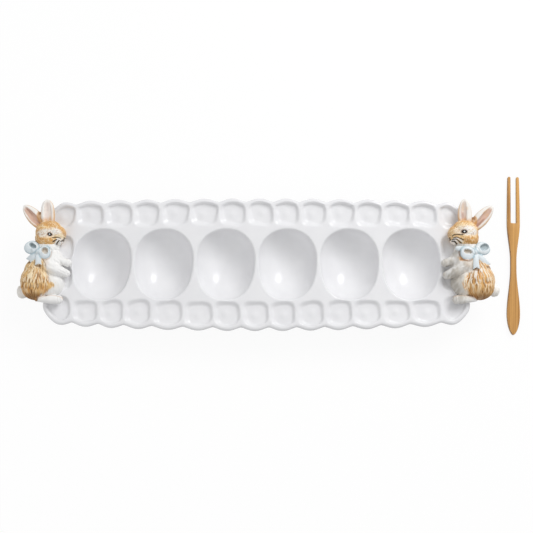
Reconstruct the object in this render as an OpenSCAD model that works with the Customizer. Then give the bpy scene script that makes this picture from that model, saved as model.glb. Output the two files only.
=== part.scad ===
// Deviled egg platter: a glazed ceramic dish with a row of egg wells and a thumbprint
// border, a seated rabbit luted on to each end, and a loose two-tined bamboo fork.
// +X runs along the dish, +Y towards its back edge, +Z up from the table.

/* [Dish] */
// Length of the dish without the rabbits
dish_l = 380; // [360:1:420]
// Width across the middle of the bowed long sides
dish_w = 121; // [114:1:132]
// How far a long side falls back from its middle to its ends
side_bow = 6; // [0:0.5:8]
// Height of the flat field above the table
rim_h = 27; // [26:0.5:36]
// Thickness of the slab at the border
slab_t = 9; // [7:0.5:12]
// Reach of the rounding of the outer edge
edge_r = 4.5; // [3:0.25:6]

/* [Border] */
// Spacing that the border lobes are fitted to
lobe_pitch = 25.2; // [20:0.2:30]
// Side of the larger lobe at each corner
corner_w = 27; // [24:0.5:30]
// Depth of the scallop between two lobes
scallop = 2; // [0.5:0.1:3]
// Width of a thumbprint along the edge
thumb_w = 21.5; // [16:0.5:22]
// Length of a thumbprint in from the edge
thumb_l = 19.5; // [15:0.5:19.5]
// Depth of a thumbprint in its middle
thumb_depth = 2.8; // [2:0.1:4]
// How much deeper the middle of a thumbprint is than its sides
thumb_dish = 1.2; // [0.6:0.1:1.6]
// Rim left between a thumbprint and the outer edge
thumb_rim = 4.6; // [3:0.2:6]

/* [Egg wells] */
// Wells in the row
wells = 6; // [4:1:6]
// Width of a well at the field
well_w = 52.5; // [46:0.5:53]
// Length of a well at the field
well_l = 65; // [58:0.5:66]
// Depth of a well
well_depth = 20; // [16:0.5:21]
// Ceramic wall under a well
well_wall = 4.5; // [3:0.5:5]
// Border kept clear of wells at each end
end_border = 26; // [25:0.5:30]

/* [Foot] */
// Distance of the foot ring in from the outer edge
foot_inset = 16; // [12:0.5:17]
// Thickness of the foot ring
foot_t = 5; // [4:0.5:6]
// Corner radius of the foot ring
foot_corner_r = 20; // [14:1:24]

/* [Rabbits] */
// Distance of a rabbit's middle in from the end of the dish
rabbit_inset = 9; // [6:0.5:11]
// Distance of a rabbit's middle behind the middle of the dish
rabbit_back = 9; // [4:0.5:11]
// Height of the body from foot to neck
body_l = 50; // [46:0.5:54]
// Width of the body from back to chest
body_w = 40; // [37:0.5:43]
// Thickness of the body
body_t = 30; // [27:0.5:34]
// Length of the head from nape to nose
head_l = 28; // [26:0.5:30]
// Height of the head from crown to chin
head_h = 22; // [20:0.5:24]
// Thickness of the head
head_t = 22; // [20:0.5:25]
// Length of an ear
ear_l = 25; // [22:0.5:28]
// Width of an ear
ear_w = 10.5; // [9:0.5:12]
// Thickness of an ear
ear_t = 6; // [5:0.5:7.5]
// Length of a foreleg
foreleg_l = 23; // [20:0.5:25]
// Diameter of a foreleg
foreleg_d = 9; // [7.5:0.5:10]
// Length of the hind foot
foot_l = 25; // [22:0.5:28]
// Diameter of the hind foot
foot_d = 9; // [8:0.5:10]
// Diameter of the tail
tail_d = 11; // [9:0.5:13]

/* [Bow] */
// Length of a ribbon loop
loop_l = 13; // [11:0.5:15]
// Width of a ribbon loop
loop_w = 9; // [7:0.5:11]
// Thickness of the ribbon
ribbon_d = 3.4; // [2.6:0.2:4.2]
// Size of the knot
knot_d = 6; // [5:0.5:7]
// Length of a ribbon tail
streamer_l = 14; // [10:0.5:16]
// Width of a ribbon tail
streamer_w = 5; // [4:0.5:6]

/* [Fork] */
// Length of the fork
fork_l = 149; // [130:1:160]
// Width at the shoulder and at the handle
fork_w = 12.5; // [10:0.5:14]
// Width at the waist
waist_w = 5.6; // [4:0.2:7]
// Thickness of the bamboo
fork_t = 4; // [3:0.25:5]
// Length of the slot between the tines
slot_l = 45; // [36:1:50]
// Width of the slot
slot_w = 5.4; // [4.6:0.2:6.4]
// Free space between the rabbit's tail and the fork
fork_gap = 16.5; // [6:0.5:20]

/* [Hidden] */

$fn = 64;
// Overrun of every cut past the surface that it opens
cut = 1;

// Border outline
crest_share = 0.7;
corner_power = 4.5;
lobe_steps = 7;
corner_steps = 10;
edge_steps = 6;
half_l = dish_l / 2;
valley_x = half_l - corner_w;
valley_y = side_y(half_l) - corner_w;
long_lobes = round(2 * valley_x / lobe_pitch);
end_lobes = round(2 * valley_y / lobe_pitch);
// Widths of the hand-pressed lobes from left to right, as shares of their mean
back_lobe_shares = [1.03, 1.02, 0.99, 1.05, 1.06, 0.98, 0.98, 0.94, 0.97, 1.02, 0.98, 0.98, 1.00];
front_lobe_shares = [0.93, 0.90, 0.98, 1.10, 1.05, 0.99, 0.98, 0.98, 0.98, 0.99, 1.00, 1.02, 1.09];

// Half width of the dish at x, from its bowed side
function side_y(x) = dish_w / 2 - side_bow * pow(x / half_l, 2);
// Rise of a scallop over its lobe, 0 in the valleys and 1 at the crest
function crest(t) = pow(abs(sin(180 * t)), crest_share);
// Share of one lobe, and of all lobes before it
function lobe_share(shares, i) = shares[i % len(shares)];
function run_share(shares, i) =
    i == 0 ? 0 : run_share(shares, i - 1) + lobe_share(shares, i - 1);
// Places of the valleys along a side, each with the number of lobes before it
function valleys(shares) = [for (i = [0 : long_lobes])
    [valley_x * (2 * run_share(shares, i) / run_share(shares, long_lobes) - 1), i]];
back_valleys = valleys(back_lobe_shares);
front_valleys = valleys(front_lobe_shares);
// Each point of the outline is [place, outward direction]
function end_points() = [
    for (j = [0 : end_lobes * lobe_steps / 2])
        let (y = 2 * valley_y * j / (end_lobes * lobe_steps),
             t = (y + valley_y) / (2 * valley_y) * end_lobes)
            [[half_l - scallop * (1 - crest(t)), y], [1, 0]]];
function corner_points() = [
    for (j = [1 : corner_steps - 1])
        let (a = 90 * j / corner_steps,
             swell = 1 + scallop / corner_w * crest(a / 90),
             reach_x = half_l - scallop - valley_x,
             reach_y = side_y(valley_x) - scallop - valley_y)
            [[valley_x + reach_x * swell * pow(cos(a), 2 / corner_power),
              valley_y + reach_y * swell * pow(sin(a), 2 / corner_power)],
             [cos(a), sin(a)]]];
function side_points(table) = [
    for (j = [0 : long_lobes * lobe_steps])
        let (x = valley_x * (1 - 2 * j / (long_lobes * lobe_steps)))
            [[x, side_y(x) - scallop * (1 - crest(lookup(x, table)))], [0, 1]]];
function turned(points) = [for (i = [len(points) - 1 : -1 : 0]) points[i]];
function flipped(points, fx, fy) =
    [for (p = points) [[p[0][0] * fx, p[0][1] * fy], [p[1][0] * fx, p[1][1] * fy]]];
right_end = concat(end_points(), corner_points());
left_end = flipped(turned(right_end), -1, 1);
back_half = concat(right_end, side_points(back_valleys), left_end);
front_half = flipped(concat(right_end, side_points(front_valleys), left_end), 1, -1);
half_n = len(back_half);
outline = concat(back_half, [for (i = [half_n - 2 : -1 : 1]) front_half[i]]);
ring_n = len(outline);
side_first = len(right_end);
side_last = side_first + long_lobes * lobe_steps;
// The outline drawn in by d
function inset_ring(d) = [for (p = outline) p[0] - d * p[1]];

// Thumbprints: one to a lobe, along both sides and both ends, each [x, y, width share, turn]
thumb_corner_share = 0.57;
thumb_in = thumb_rim + thumb_l / 2;
end_pitch = 2 * valley_y / end_lobes;
corner_x = half_l - thumb_in;
corner_y = side_y(corner_x) - thumb_in;
function side_thumbs(table, shares, back) = [for (k = [0 : long_lobes - 1])
    let (x = (table[k][0] + table[k + 1][0]) / 2)
        [x, back * (side_y(x) - thumb_in), lobe_share(shares, k), 0]];
end_thumbs = [for (k = [0 : end_lobes - 1], s = [-1, 1])
    [s * corner_x, -valley_y + end_pitch * (k + 1 / 2), 1, 90]];
corner_thumbs = [for (sx = [-1, 1], sy = [-1, 1]) [sx * corner_x, sy * corner_y, 1, 0]];
thumbs = concat(side_thumbs(back_valleys, back_lobe_shares, 1),
    side_thumbs(front_valleys, front_lobe_shares, -1), end_thumbs, corner_thumbs);

// Egg wells: each end is an arc turned about an axis above the field
blunt_share = 0.42;
well_pitch = (dish_l - 2 * end_border - well_w) / (wells - 1);
well_r = (pow(well_w / 2, 2) + pow(well_depth, 2)) / (2 * well_depth);
well_axis = well_r - well_depth;
blunt_l = well_l * blunt_share;
point_l = well_l - blunt_l;

// Rabbit places, as shares of the body or of the head from its middle
rabbit_x = half_l - rabbit_inset;
body_size = [body_w, body_l, body_t];
head_size = [head_l, head_h, head_t];
haunch_at_shares = [-0.32, -0.54, 0.00];
haunch_size_shares = [0.64, 0.66, 1.00];
belly_at_shares = [0.05, -0.52, 0.00];
belly_size_shares = [0.66, 0.58, 0.82];
chest_at_shares = [-0.06, -0.12, 0.00];
chest_size_shares = [0.84, 0.62, 0.92];
nape_at_shares = [-0.10, 0.10, 0.04];
nape_size_shares = [0.56, 0.40, 0.74];
head_at_shares = [0.02, 0.33, 0.17];
skull_at_shares = [-0.10, 0.05, 0.00];
skull_size_shares = [0.86, 1.00, 1.00];
snout_at_shares = [0.20, -0.13, -0.02];
snout_size_shares = [0.62, 0.70, 0.82];
cheek_at_shares = [-0.02, -0.22, 0.02];
cheek_size_shares = [0.80, 0.62, 0.92];
snout_turn = -18;
near_ear_at_shares = [-0.07, 0.42, 0.10];
near_ear_turn = 9;
far_ear_at_shares = [-0.36, 0.33, 0.00];
far_ear_turn = 40;
ear_root_share = 0.14;
leaf_point_share = 0.35;
scoop_share = 0.66;
scoop_lift_share = 0.62;
shoulder_at_shares = [-0.07, -0.25, 0.32];
foreleg_turn = -18;
foreleg_dip = 12;
paw_size_shares = [1.10, 1.02, 0.96];
forepaw_at_shares = [0.37, -0.18, 0.11];
forepaw_size_shares = [0.86, 0.78, 0.80];
hind_foot_at_shares = [-0.01, -0.855, 0.10];
toe_at_shares = [0.28, 0.04, 0.00];
toe_size_shares = [0.42, 1.02, 1.02];
hind_foot_turn = -2;
tail_at_shares = [-0.66, -0.69, -0.06];
bow_at_shares = [-0.31, 0.02, 0.40];
neck_at_shares = [-0.09, 0.06, 0.02];
neck_size_shares = [0.66, 0.98];
neck_low_share = 0.10;
neck_turn = 10;
back_loop_turn = 156;
front_loop_turn = -16;
back_streamer_turn = 231;
front_streamer_turn = 277;
streamer_notch_share = 0.35;
streamer_drop_share = 0.25;

// Fork outline, from the handle's end to the tips
handle_share = 0.115;
waist_share = 0.435;
fork_steps = 12;
tine_tip_share = 0.72;
tip_taper_share = 0.30;
tail_reach = rabbit_x - tail_at_shares[0] * body_w + tail_d / 2;
fork_x = tail_reach + fork_gap + fork_w / 2;
fork_y = 13.5;
// Lean of the loose fork away from the platter
fork_turn = 3;
shoulder_y = fork_l - slot_l;

// Common shapes

// The part of a table of shares that follows a size
function of_size(shares, size) = [for (i = [0 : 2]) shares[i] * size[i]];

// An ellipsoid of that size, turned in the plane of the field, laid together from two halves
module lump(at, size, turn = 0) {
    for (half_turn = [0, 180])
        translate(at) rotate([0, 0, turn]) scale(size / size[0]) rotate([0, 0, half_turn])
            half_ball(size[0]);
}

module half_ball(d) {
    rotate_extrude(angle = 180) right_half(d / 2) circle(d / 2);
}

// The half of a turned profile that lies on the positive side of its axis
module right_half(r) {
    intersection() {
        children();
        translate([0, -r]) square([r, 2 * r]);
    }
}

// Dish

// The scalloped slab with its rounded edge
module slab() {
    levels = [for (k = [0 : edge_steps])
        let (a = 180 * k / edge_steps - 90)
            [edge_r * (1 - cos(a)), rim_h - slab_t / 2 + slab_t / 2 * sin(a)]];
    rings = [for (level = levels) [for (p = inset_ring(level[0])) [p[0], p[1], level[1]]]];
    hubs = [for (z = [rim_h - slab_t, rim_h], s = [1, -1]) [s * valley_x, 0, z]];
    hub_0 = ring_n * (edge_steps + 1);
    points = concat([for (ring = rings, p = ring) p], hubs);
    wall = [for (k = [0 : edge_steps - 1], i = [0 : ring_n - 1])
        let (a = k * ring_n + i, b = k * ring_n + (i + 1) % ring_n)
            each [[a, a + ring_n, b + ring_n], [a, b + ring_n, b]]];
    under = cap_faces(0, hub_0, hub_0 + 1);
    top = cap_faces(edge_steps * ring_n, hub_0 + 2, hub_0 + 3);
    polyhedron(points, concat(wall, under, [for (f = top) turned(f)]), convexity = 4);
}

// Faces across one ring, anticlockwise from above: a fan at each end and strips between
function mate(i) = (ring_n - i) % ring_n;
function cap_faces(first, right_hub, left_hub) = concat(
    [for (i = [0 : side_first - 1]) each [
        [right_hub, first + i, first + i + 1],
        [right_hub, first + mate(i + 1), first + mate(i)]]],
    [[right_hub, first + side_first, first + side_first + 1],
     [right_hub, first + side_first + 1, first + mate(side_first + 1)],
     [right_hub, first + mate(side_first + 1), first + mate(side_first)]],
    [for (i = [side_first + 1 : side_last - 2]) each [
        [first + i, first + i + 1, first + mate(i + 1)],
        [first + i, first + mate(i + 1), first + mate(i)]]],
    [[left_hub, first + mate(side_last - 1), first + side_last - 1],
     [left_hub, first + side_last - 1, first + side_last],
     [left_hub, first + mate(side_last), first + mate(side_last - 1)]],
    [for (i = [side_last : half_n - 2]) each [
        [left_hub, first + i, first + i + 1],
        [left_hub, first + mate(i + 1), first + mate(i)]]]);

// An egg lying on its side, larger than the well by the wall, its point to the front
module egg(wall) {
    rotate([90, 0, 0]) rotate_extrude() right_half(well_l) union() {
        egg_half(point_l, wall, 0);
        egg_half(blunt_l, wall, -well_l);
    }
}

// One end of the egg's profile, from its arc about a centre beyond the axis
module egg_half(l, wall, low) {
    arc_r = (pow(l, 2) + pow(well_depth, 2)) / (2 * well_depth);
    intersection() {
        translate([well_r - arc_r, 0]) circle(arc_r + wall);
        translate([0, low]) square(well_l);
    }
}

module each_well() {
    for (k = [0 : wells - 1])
        translate([well_pitch * (k - (wells - 1) / 2), (point_l - blunt_l) / 2, rim_h + well_axis])
            children();
}

// The underside of the wells, from the field down
module well_cups() {
    intersection() {
        each_well() egg(well_wall);
        translate([-half_l, -dish_w / 2, 0]) cube([dish_l, dish_w, rim_h - slab_t / 2]);
    }
}

// A shallow square recess with clipped corners and a dished floor
module thumbprint(share) {
    w = thumb_w * share;
    floor_r = (pow(thumb_l / 2, 2) + pow(thumb_dish, 2)) / (2 * thumb_dish);
    intersection() {
        translate([-w / 2, -thumb_l / 2, -thumb_depth]) cube([w, thumb_l, thumb_depth + cut]);
        translate([0, 0, -thumb_depth])
            cylinder(r = thumb_w * thumb_corner_share, h = thumb_depth + cut);
        translate([0, 0, floor_r - thumb_depth]) sphere(floor_r);
    }
}

module foot_outline(inset) {
    x = half_l - inset - foot_corner_r;
    y = side_y(x) - inset - foot_corner_r;
    square([2 * x, 2 * (y + foot_corner_r)], center = true);
    square([2 * (x + foot_corner_r), 2 * y], center = true);
    for (sx = [-1, 1], sy = [-1, 1]) translate([sx * x, sy * y]) circle(foot_corner_r);
}

// The unglazed ring that the dish stands on
module foot_ring() {
    linear_extrude(rim_h - slab_t / 2) difference() {
        foot_outline(foot_inset);
        foot_outline(foot_inset + foot_t);
    }
}

module dish() {
    color("white") difference() {
        union() {
            slab();
            well_cups();
            foot_ring();
        }
        each_well() egg(0);
        for (t = thumbs) translate([t[0], t[1], rim_h]) rotate([0, 0, t[3]]) thumbprint(t[2]);
    }
}

// Rabbits, modelled at the left end and facing the wells

// Carries a left rabbit's piece to its end of the dish
module at_end(side) {
    mirror([side == "right" ? 1 : 0, 0, 0])
        translate([-rabbit_x, rabbit_back, rim_h]) children();
}

// What the dish takes up below the field, under a rabbit
module seat() {
    end = concat(
        [for (i = [side_last - lobe_steps : half_n - 1]) outline[i][0]],
        [for (i = [1 : half_n - 1 - side_last + lobe_steps]) outline[half_n - 1 + i][0]]);
    translate([rabbit_x, -rabbit_back, -rim_h]) linear_extrude(rim_h) polygon(end);
}

module body_form() {
    lump(of_size(haunch_at_shares, body_size), of_size(haunch_size_shares, body_size));
    lump(of_size(belly_at_shares, body_size), of_size(belly_size_shares, body_size));
    lump(of_size(chest_at_shares, body_size), of_size(chest_size_shares, body_size));
    lump(of_size(nape_at_shares, body_size), of_size(nape_size_shares, body_size));
}

module at_head() {
    translate(of_size(head_at_shares, body_size)) children();
}

module head_form() {
    at_head() {
        lump(of_size(skull_at_shares, head_size), of_size(skull_size_shares, head_size));
        lump(of_size(snout_at_shares, head_size), of_size(snout_size_shares, head_size), snout_turn);
        lump(of_size(cheek_at_shares, head_size), of_size(cheek_size_shares, head_size));
    }
}

// A leaf with its root at the origin, pointing along +Y: what two ellipsoids share
module leaf(l, w, t) {
    wide = w / (1 - leaf_point_share);
    full_share = sqrt(1 - pow(leaf_point_share, 2));
    size = [wide, l / full_share, t / full_share];
    shift = wide * leaf_point_share / 2;
    intersection() {
        lump([-shift, l / 2, 0], size);
        lump([shift, l / 2, 0], size);
    }
}

module ear_form(at_shares, turn) {
    at_head() translate(of_size(at_shares, head_size)) rotate([0, 0, turn])
        translate([0, -ear_root_share * ear_l, 0]) difference() {
            leaf(ear_l, ear_w, ear_t);
            lump([0, ear_l / 2, ear_t * scoop_lift_share],
                 [ear_w * scoop_share, ear_l * scoop_share, ear_t]);
        }
}

// A ribbon loop seen from the front, lying along +X from the knot
module ribbon_loop(turn) {
    round_r = (loop_w - ribbon_d) / 2;
    rotate([0, 0, turn]) translate([loop_l / 2, 0, 0]) scale([loop_l / loop_w, 1, 1])
        rotate_extrude() translate([round_r, 0]) circle(ribbon_d / 2);
}

// A ribbon end that widens away from the knot, with a notched tip
module streamer(turn) {
    notch = streamer_w * streamer_notch_share;
    rotate([0, 0, turn]) translate([0, 0, -ribbon_d * (1 / 2 + streamer_drop_share)])
        linear_extrude(ribbon_d) polygon([
            [0, ribbon_d / 2], [streamer_l, streamer_w / 2], [streamer_l - notch, 0],
            [streamer_l, -streamer_w / 2], [0, -ribbon_d / 2]]);
}

// The ribbon over the upper side of the neck
module neck_band() {
    size = [neck_size_shares[0] * body_w, neck_size_shares[1] * body_t] / 2;
    intersection() {
        translate(of_size(neck_at_shares, body_size)) rotate([0, 0, neck_turn]) rotate([90, 0, 0])
            scale([1, size[1] / size[0], 1])
                rotate_extrude() translate([size[0] - ribbon_d / 2, 0]) circle(ribbon_d / 2);
        translate([-body_w, -body_l, neck_low_share * body_t])
            cube([2 * body_w, 2 * body_l, body_t]);
    }
}

module bow_form() {
    translate(of_size(bow_at_shares, body_size)) {
        ribbon_loop(back_loop_turn);
        ribbon_loop(front_loop_turn);
        streamer(back_streamer_turn);
        streamer(front_streamer_turn);
        lump([0, 0, 0], [knot_d, knot_d, knot_d]);
    }
    neck_band();
}

module rabbit_body(side) {
    color("burlywood") at_end(side) difference() {
        union() body_form();
        seat();
    }
}

module rabbit_head(side) {
    color("tan") at_end(side) difference() {
        union() head_form();
        body_form();
        seat();
    }
}

module rabbit_near_ear(side) {
    color("mistyrose") at_end(side) difference() {
        ear_form(near_ear_at_shares, near_ear_turn);
        head_form();
        seat();
    }
}

module rabbit_far_ear(side) {
    color("mistyrose") at_end(side) difference() {
        ear_form(far_ear_at_shares, far_ear_turn);
        ear_form(near_ear_at_shares, near_ear_turn);
        head_form();
        seat();
    }
}

module rabbit_bow(side) {
    color("lightblue") at_end(side) difference() {
        bow_form();
        body_form();
        head_form();
        seat();
    }
}

module rabbit_near_foreleg(side) {
    color("whitesmoke") at_end(side) difference() {
        translate(of_size(shoulder_at_shares, body_size)) rotate([0, foreleg_dip, foreleg_turn]) {
            lump([foreleg_l / 2, 0, 0], [foreleg_l, foreleg_d, foreleg_d]);
            lump([foreleg_l - foreleg_d / 2, 0, 0], foreleg_d * paw_size_shares);
        }
        body_form();
        seat();
    }
}

module rabbit_far_forepaw(side) {
    color("whitesmoke") at_end(side) difference() {
        lump(of_size(forepaw_at_shares, body_size), foreleg_d * forepaw_size_shares);
        body_form();
        seat();
    }
}

module rabbit_hind_foot(side) {
    color("whitesmoke") at_end(side) difference() {
        translate(of_size(hind_foot_at_shares, body_size)) rotate([0, 0, hind_foot_turn]) {
            lump([0, 0, 0], [foot_l, foot_d, foot_d]);
            lump(of_size(toe_at_shares, [foot_l, foot_d, foot_d]),
                 of_size(toe_size_shares, [foot_l, foot_d, foot_d]));
        }
        body_form();
        seat();
    }
}

module rabbit_tail(side) {
    color("white") at_end(side) difference() {
        lump(of_size(tail_at_shares, body_size), [tail_d, tail_d, tail_d]);
        body_form();
        seat();
    }
}

// Fork

// A smooth step from a to b as t goes from 0 to 1
function ease(a, b, t) = a + (b - a) * (1 - cos(180 * t)) / 2;
handle_y = fork_l * handle_share;
waist_y = fork_l * waist_share;
fork_side = concat(
    [for (k = [0 : fork_steps]) let (a = 90 * k / fork_steps)
        [fork_w / 2 * sin(a), handle_y * (1 - cos(a))]],
    [for (k = [1 : fork_steps]) let (t = k / fork_steps)
        [ease(fork_w, waist_w, t) / 2, handle_y + (waist_y - handle_y) * t]],
    [for (k = [1 : fork_steps]) let (t = k / fork_steps)
        [ease(waist_w, fork_w, t) / 2, waist_y + (shoulder_y - waist_y) * t]]);

module fork_plan() {
    tine_w = (fork_w - slot_w) / 2;
    tip_x = slot_w / 2 + tine_w * tine_tip_share;
    difference() {
        polygon(concat(fork_side, [[tip_x, fork_l], [-tip_x, fork_l]],
            [for (i = [len(fork_side) - 1 : -1 : 1]) [-fork_side[i][0], fork_side[i][1]]]));
        translate([-slot_w / 2, shoulder_y]) square([slot_w, slot_l + cut]);
    }
}

// The side view: full thickness, thinning towards the tips
module fork_profile() {
    tip_t = fork_t * (1 - tip_taper_share);
    polygon([[0, 0], [fork_l, 0], [fork_l, tip_t], [shoulder_y, fork_t], [0, fork_t]]);
}

module fork() {
    color("peru") translate([fork_x, fork_y, 0]) rotate([0, 0, -fork_turn])
        translate([0, -fork_l / 2, 0]) intersection() {
            linear_extrude(fork_t) fork_plan();
            translate([-fork_w / 2, 0, 0]) rotate([90, 0, 90])
                linear_extrude(fork_w) fork_profile();
        }
}

dish();

rabbit_body("left");  // left_rabbit_body
rabbit_head("left");  // left_rabbit_head
rabbit_near_ear("left");  // left_rabbit_near_ear
rabbit_far_ear("left");  // left_rabbit_far_ear
rabbit_bow("left");  // left_rabbit_bow
rabbit_near_foreleg("left");  // left_rabbit_near_foreleg
rabbit_far_forepaw("left");  // left_rabbit_far_forepaw
rabbit_hind_foot("left");  // left_rabbit_hind_foot
rabbit_tail("left");  // left_rabbit_tail

rabbit_body("right");  // right_rabbit_body
rabbit_head("right");  // right_rabbit_head
rabbit_near_ear("right");  // right_rabbit_near_ear
rabbit_far_ear("right");  // right_rabbit_far_ear
rabbit_bow("right");  // right_rabbit_bow
rabbit_near_foreleg("right");  // right_rabbit_near_foreleg
rabbit_far_forepaw("right");  // right_rabbit_far_forepaw
rabbit_hind_foot("right");  // right_rabbit_hind_foot
rabbit_tail("right");  // right_rabbit_tail

fork();
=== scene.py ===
"""Looks of a deviled egg platter: a glazed dish, a painted rabbit at each end and a bamboo fork."""

import logging
import math
from collections.abc import Sequence
from dataclasses import dataclass
from enum import Enum
from typing import ClassVar

import bmesh
import bpy
import numpy as np
from mathutils import Matrix, Vector


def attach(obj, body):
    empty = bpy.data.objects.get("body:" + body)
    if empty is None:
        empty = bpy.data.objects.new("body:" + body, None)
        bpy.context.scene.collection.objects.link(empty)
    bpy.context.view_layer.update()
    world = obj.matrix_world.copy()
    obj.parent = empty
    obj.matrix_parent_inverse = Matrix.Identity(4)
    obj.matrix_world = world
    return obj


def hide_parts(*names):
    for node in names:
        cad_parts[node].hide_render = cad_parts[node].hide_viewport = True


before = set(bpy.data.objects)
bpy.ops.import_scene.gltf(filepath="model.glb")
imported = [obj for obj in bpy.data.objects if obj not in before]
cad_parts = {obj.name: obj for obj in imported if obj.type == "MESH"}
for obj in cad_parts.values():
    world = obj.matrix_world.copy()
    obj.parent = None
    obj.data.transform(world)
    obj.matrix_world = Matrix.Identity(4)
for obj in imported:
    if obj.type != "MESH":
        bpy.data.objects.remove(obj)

Array = np.ndarray
Spot = tuple[float, float]
Path = tuple[Spot, ...]
Point = tuple[float, float, float]
Colour = tuple[float, float, float]

MM = 0.001
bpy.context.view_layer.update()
PAINT = "paint"
WHITE_GLAZE: Colour = (0.825, 0.825, 0.84)
HASH_X, HASH_Y, HASH_SEED, HASH_MIX, HASH_MASK = 374761393, 668265263, 974711, 1274126177, 0x7FFFFFFF
LOG = logging.getLogger("platter")


class Side(Enum):
    """End of the dish that a rabbit sits on, with the sign of its x."""

    LEFT = -1
    RIGHT = 1

    @property
    def word(self) -> str:
        """The end's name as the part's nodes have it."""
        return self.name.lower()


class Body(Enum):
    """Rigid bodies of the set."""

    PLATTER = "platter"
    FORK = "fork"


# Helpers that several pieces share


def smooth_step(low: float, high: float, x: Array) -> Array:
    """Eases from 0 at low to 1 at high.

    Args:
        low: Place where the step starts.
        high: Place where it ends; it may lie below low.
        x: Places to ease.

    Returns:
        The step at each place.
    """
    t = np.clip((x - low) / (high - low), 0.0, 1.0)
    return t * t * (3.0 - 2.0 * t)


def soft_min(a: Array, b: Array, reach: float) -> Array:
    """The lower of two surfaces, with the edge between them rounded.

    Args:
        a: First surface.
        b: Second surface.
        reach: Height over which the edge is rounded.

    Returns:
        The rounded lower surface.
    """
    h = np.clip(0.5 + 0.5 * (b - a) / reach, 0.0, 1.0)
    return b + (a - b) * h - reach * h * (1.0 - h)


def lattice(ix: Array, iy: Array, seed: int) -> Array:
    """Repeatable numbers from 0 to 1 at whole-number places.

    Args:
        ix: First coordinate.
        iy: Second coordinate.
        seed: Number that tells one pattern from the next.

    Returns:
        The number at each place.
    """
    n = (ix.astype(np.int64) * HASH_X + iy.astype(np.int64) * HASH_Y + seed * HASH_SEED) & HASH_MASK
    n = ((n ^ (n >> 13)) * HASH_MIX) & HASH_MASK
    return ((n ^ (n >> 15)) & 0xFFFF) / 65535.0


def mottle(x: Array, y: Array, seed: int) -> Array:
    """Smooth hand-made unevenness from 0 to 1, one swell to each unit of x and y.

    Args:
        x: First coordinate.
        y: Second coordinate.
        seed: Number that tells one pattern from the next.

    Returns:
        The unevenness at each place.
    """
    fx, fy = np.floor(x), np.floor(y)
    tx, ty = smooth_step(0.0, 1.0, x - fx), smooth_step(0.0, 1.0, y - fy)
    low = lattice(fx, fy, seed) * (1 - tx) + lattice(fx + 1, fy, seed) * tx
    high = lattice(fx, fy + 1, seed) * (1 - tx) + lattice(fx + 1, fy + 1, seed) * tx
    return low * (1 - ty) + high * ty


def blob(x: Array, y: Array, at: Spot, size: Spot, turn: float = 0.0) -> Array:
    """Distance from the middle of a turned ellipse, 1 on its edge.

    Args:
        x: Places along the dish.
        y: Places across the dish.
        at: Middle of the ellipse.
        size: Its half axes.
        turn: Its turn in degrees.

    Returns:
        The scaled distance of each place.
    """
    c, s = math.cos(math.radians(turn)), math.sin(math.radians(turn))
    dx, dy = x - at[0], y - at[1]
    return np.hypot((dx * c + dy * s) / size[0], (dy * c - dx * s) / size[1])


def stroke(x: Array, y: Array, path: Path, width: float) -> Array:
    """Cover of a brush line along a path, 1 on the line and 0 beyond its soft edge.

    Args:
        x: Places along the dish.
        y: Places across the dish.
        path: Corners of the line.
        width: Width of the line.

    Returns:
        The cover at each place.
    """
    near = np.full(x.shape, 1e9)
    for (ax, ay), (bx, by) in zip(path, path[1:]):
        run = max((bx - ax) ** 2 + (by - ay) ** 2, 1e-9)
        t = np.clip(((x - ax) * (bx - ax) + (y - ay) * (by - ay)) / run, 0.0, 1.0)
        near = np.minimum(near, np.hypot(x - ax - t * (bx - ax), y - ay - t * (by - ay)))
    return 1.0 - smooth_step(0.30 * width, 0.75 * width, near)


def mix(base: Array, colour: Colour | Array, cover: Array) -> Array:
    """Lays a colour over others by its cover."""
    return base + (np.asarray(colour) - base) * cover[:, None]


def plain(x: Array, colour: Colour) -> Array:
    """One colour for every place."""
    return np.tile(np.asarray(colour, float), (len(x), 1))


def unroll(v: Array, z: Array, middle: float, reach: float = 18.6) -> Array:
    """Length over a rounded form from its ridge, so that brush strokes keep their width down its sides."""
    return middle + reach * np.arctan2(v - middle, np.maximum(z, -6.0) + 4.0)


# Meshes


def points_of(mesh: bpy.types.Mesh) -> Array:
    """Reads where a mesh's points lie.

    Args:
        mesh: The mesh, in metres.

    Returns:
        One row for each point, in millimetres.
    """
    co = np.empty(len(mesh.vertices) * 3)
    mesh.vertices.foreach_get("co", co)
    return co.reshape(-1, 3) / MM


def normals_of(mesh: bpy.types.Mesh) -> Array:
    """Reads which way a mesh's points face.

    Args:
        mesh: The mesh.

    Returns:
        One outward direction for each point.
    """
    n = np.empty(len(mesh.vertices) * 3)
    mesh.vertex_normals.foreach_get("vector", n)
    return n.reshape(-1, 3)


def move_points(mesh: bpy.types.Mesh, points: Array) -> None:
    """Puts a mesh's points at places in millimetres."""
    mesh.vertices.foreach_set("co", np.ascontiguousarray(points * MM).ravel())
    mesh.update()


def paint_points(mesh: bpy.types.Mesh, colours: Array) -> None:
    """Stores one colour for each point as the mesh's paint.

    Args:
        mesh: Mesh to paint.
        colours: Linear red, green and blue for each point.
    """
    layer = mesh.color_attributes.new(PAINT, "FLOAT_COLOR", "POINT")
    rgba = np.ones((len(colours), 4))
    rgba[:, :3] = np.clip(colours, 0.0, 1.0)
    layer.data.foreach_set("color", rgba.ravel())


def mesh_object(name: str, bm: bmesh.types.BMesh) -> bpy.types.Object:
    """Turns a bmesh in metres into a smooth shaded object.

    Args:
        name: Name of the piece.
        bm: Its mesh, which is freed.

    Returns:
        The new object, linked to the scene.
    """
    mesh = bpy.data.meshes.new(name)
    bm.to_mesh(mesh)
    bm.free()
    mesh.shade_smooth()
    obj = bpy.data.objects.new(name, mesh)
    bpy.context.scene.collection.objects.link(obj)
    return obj


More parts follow.
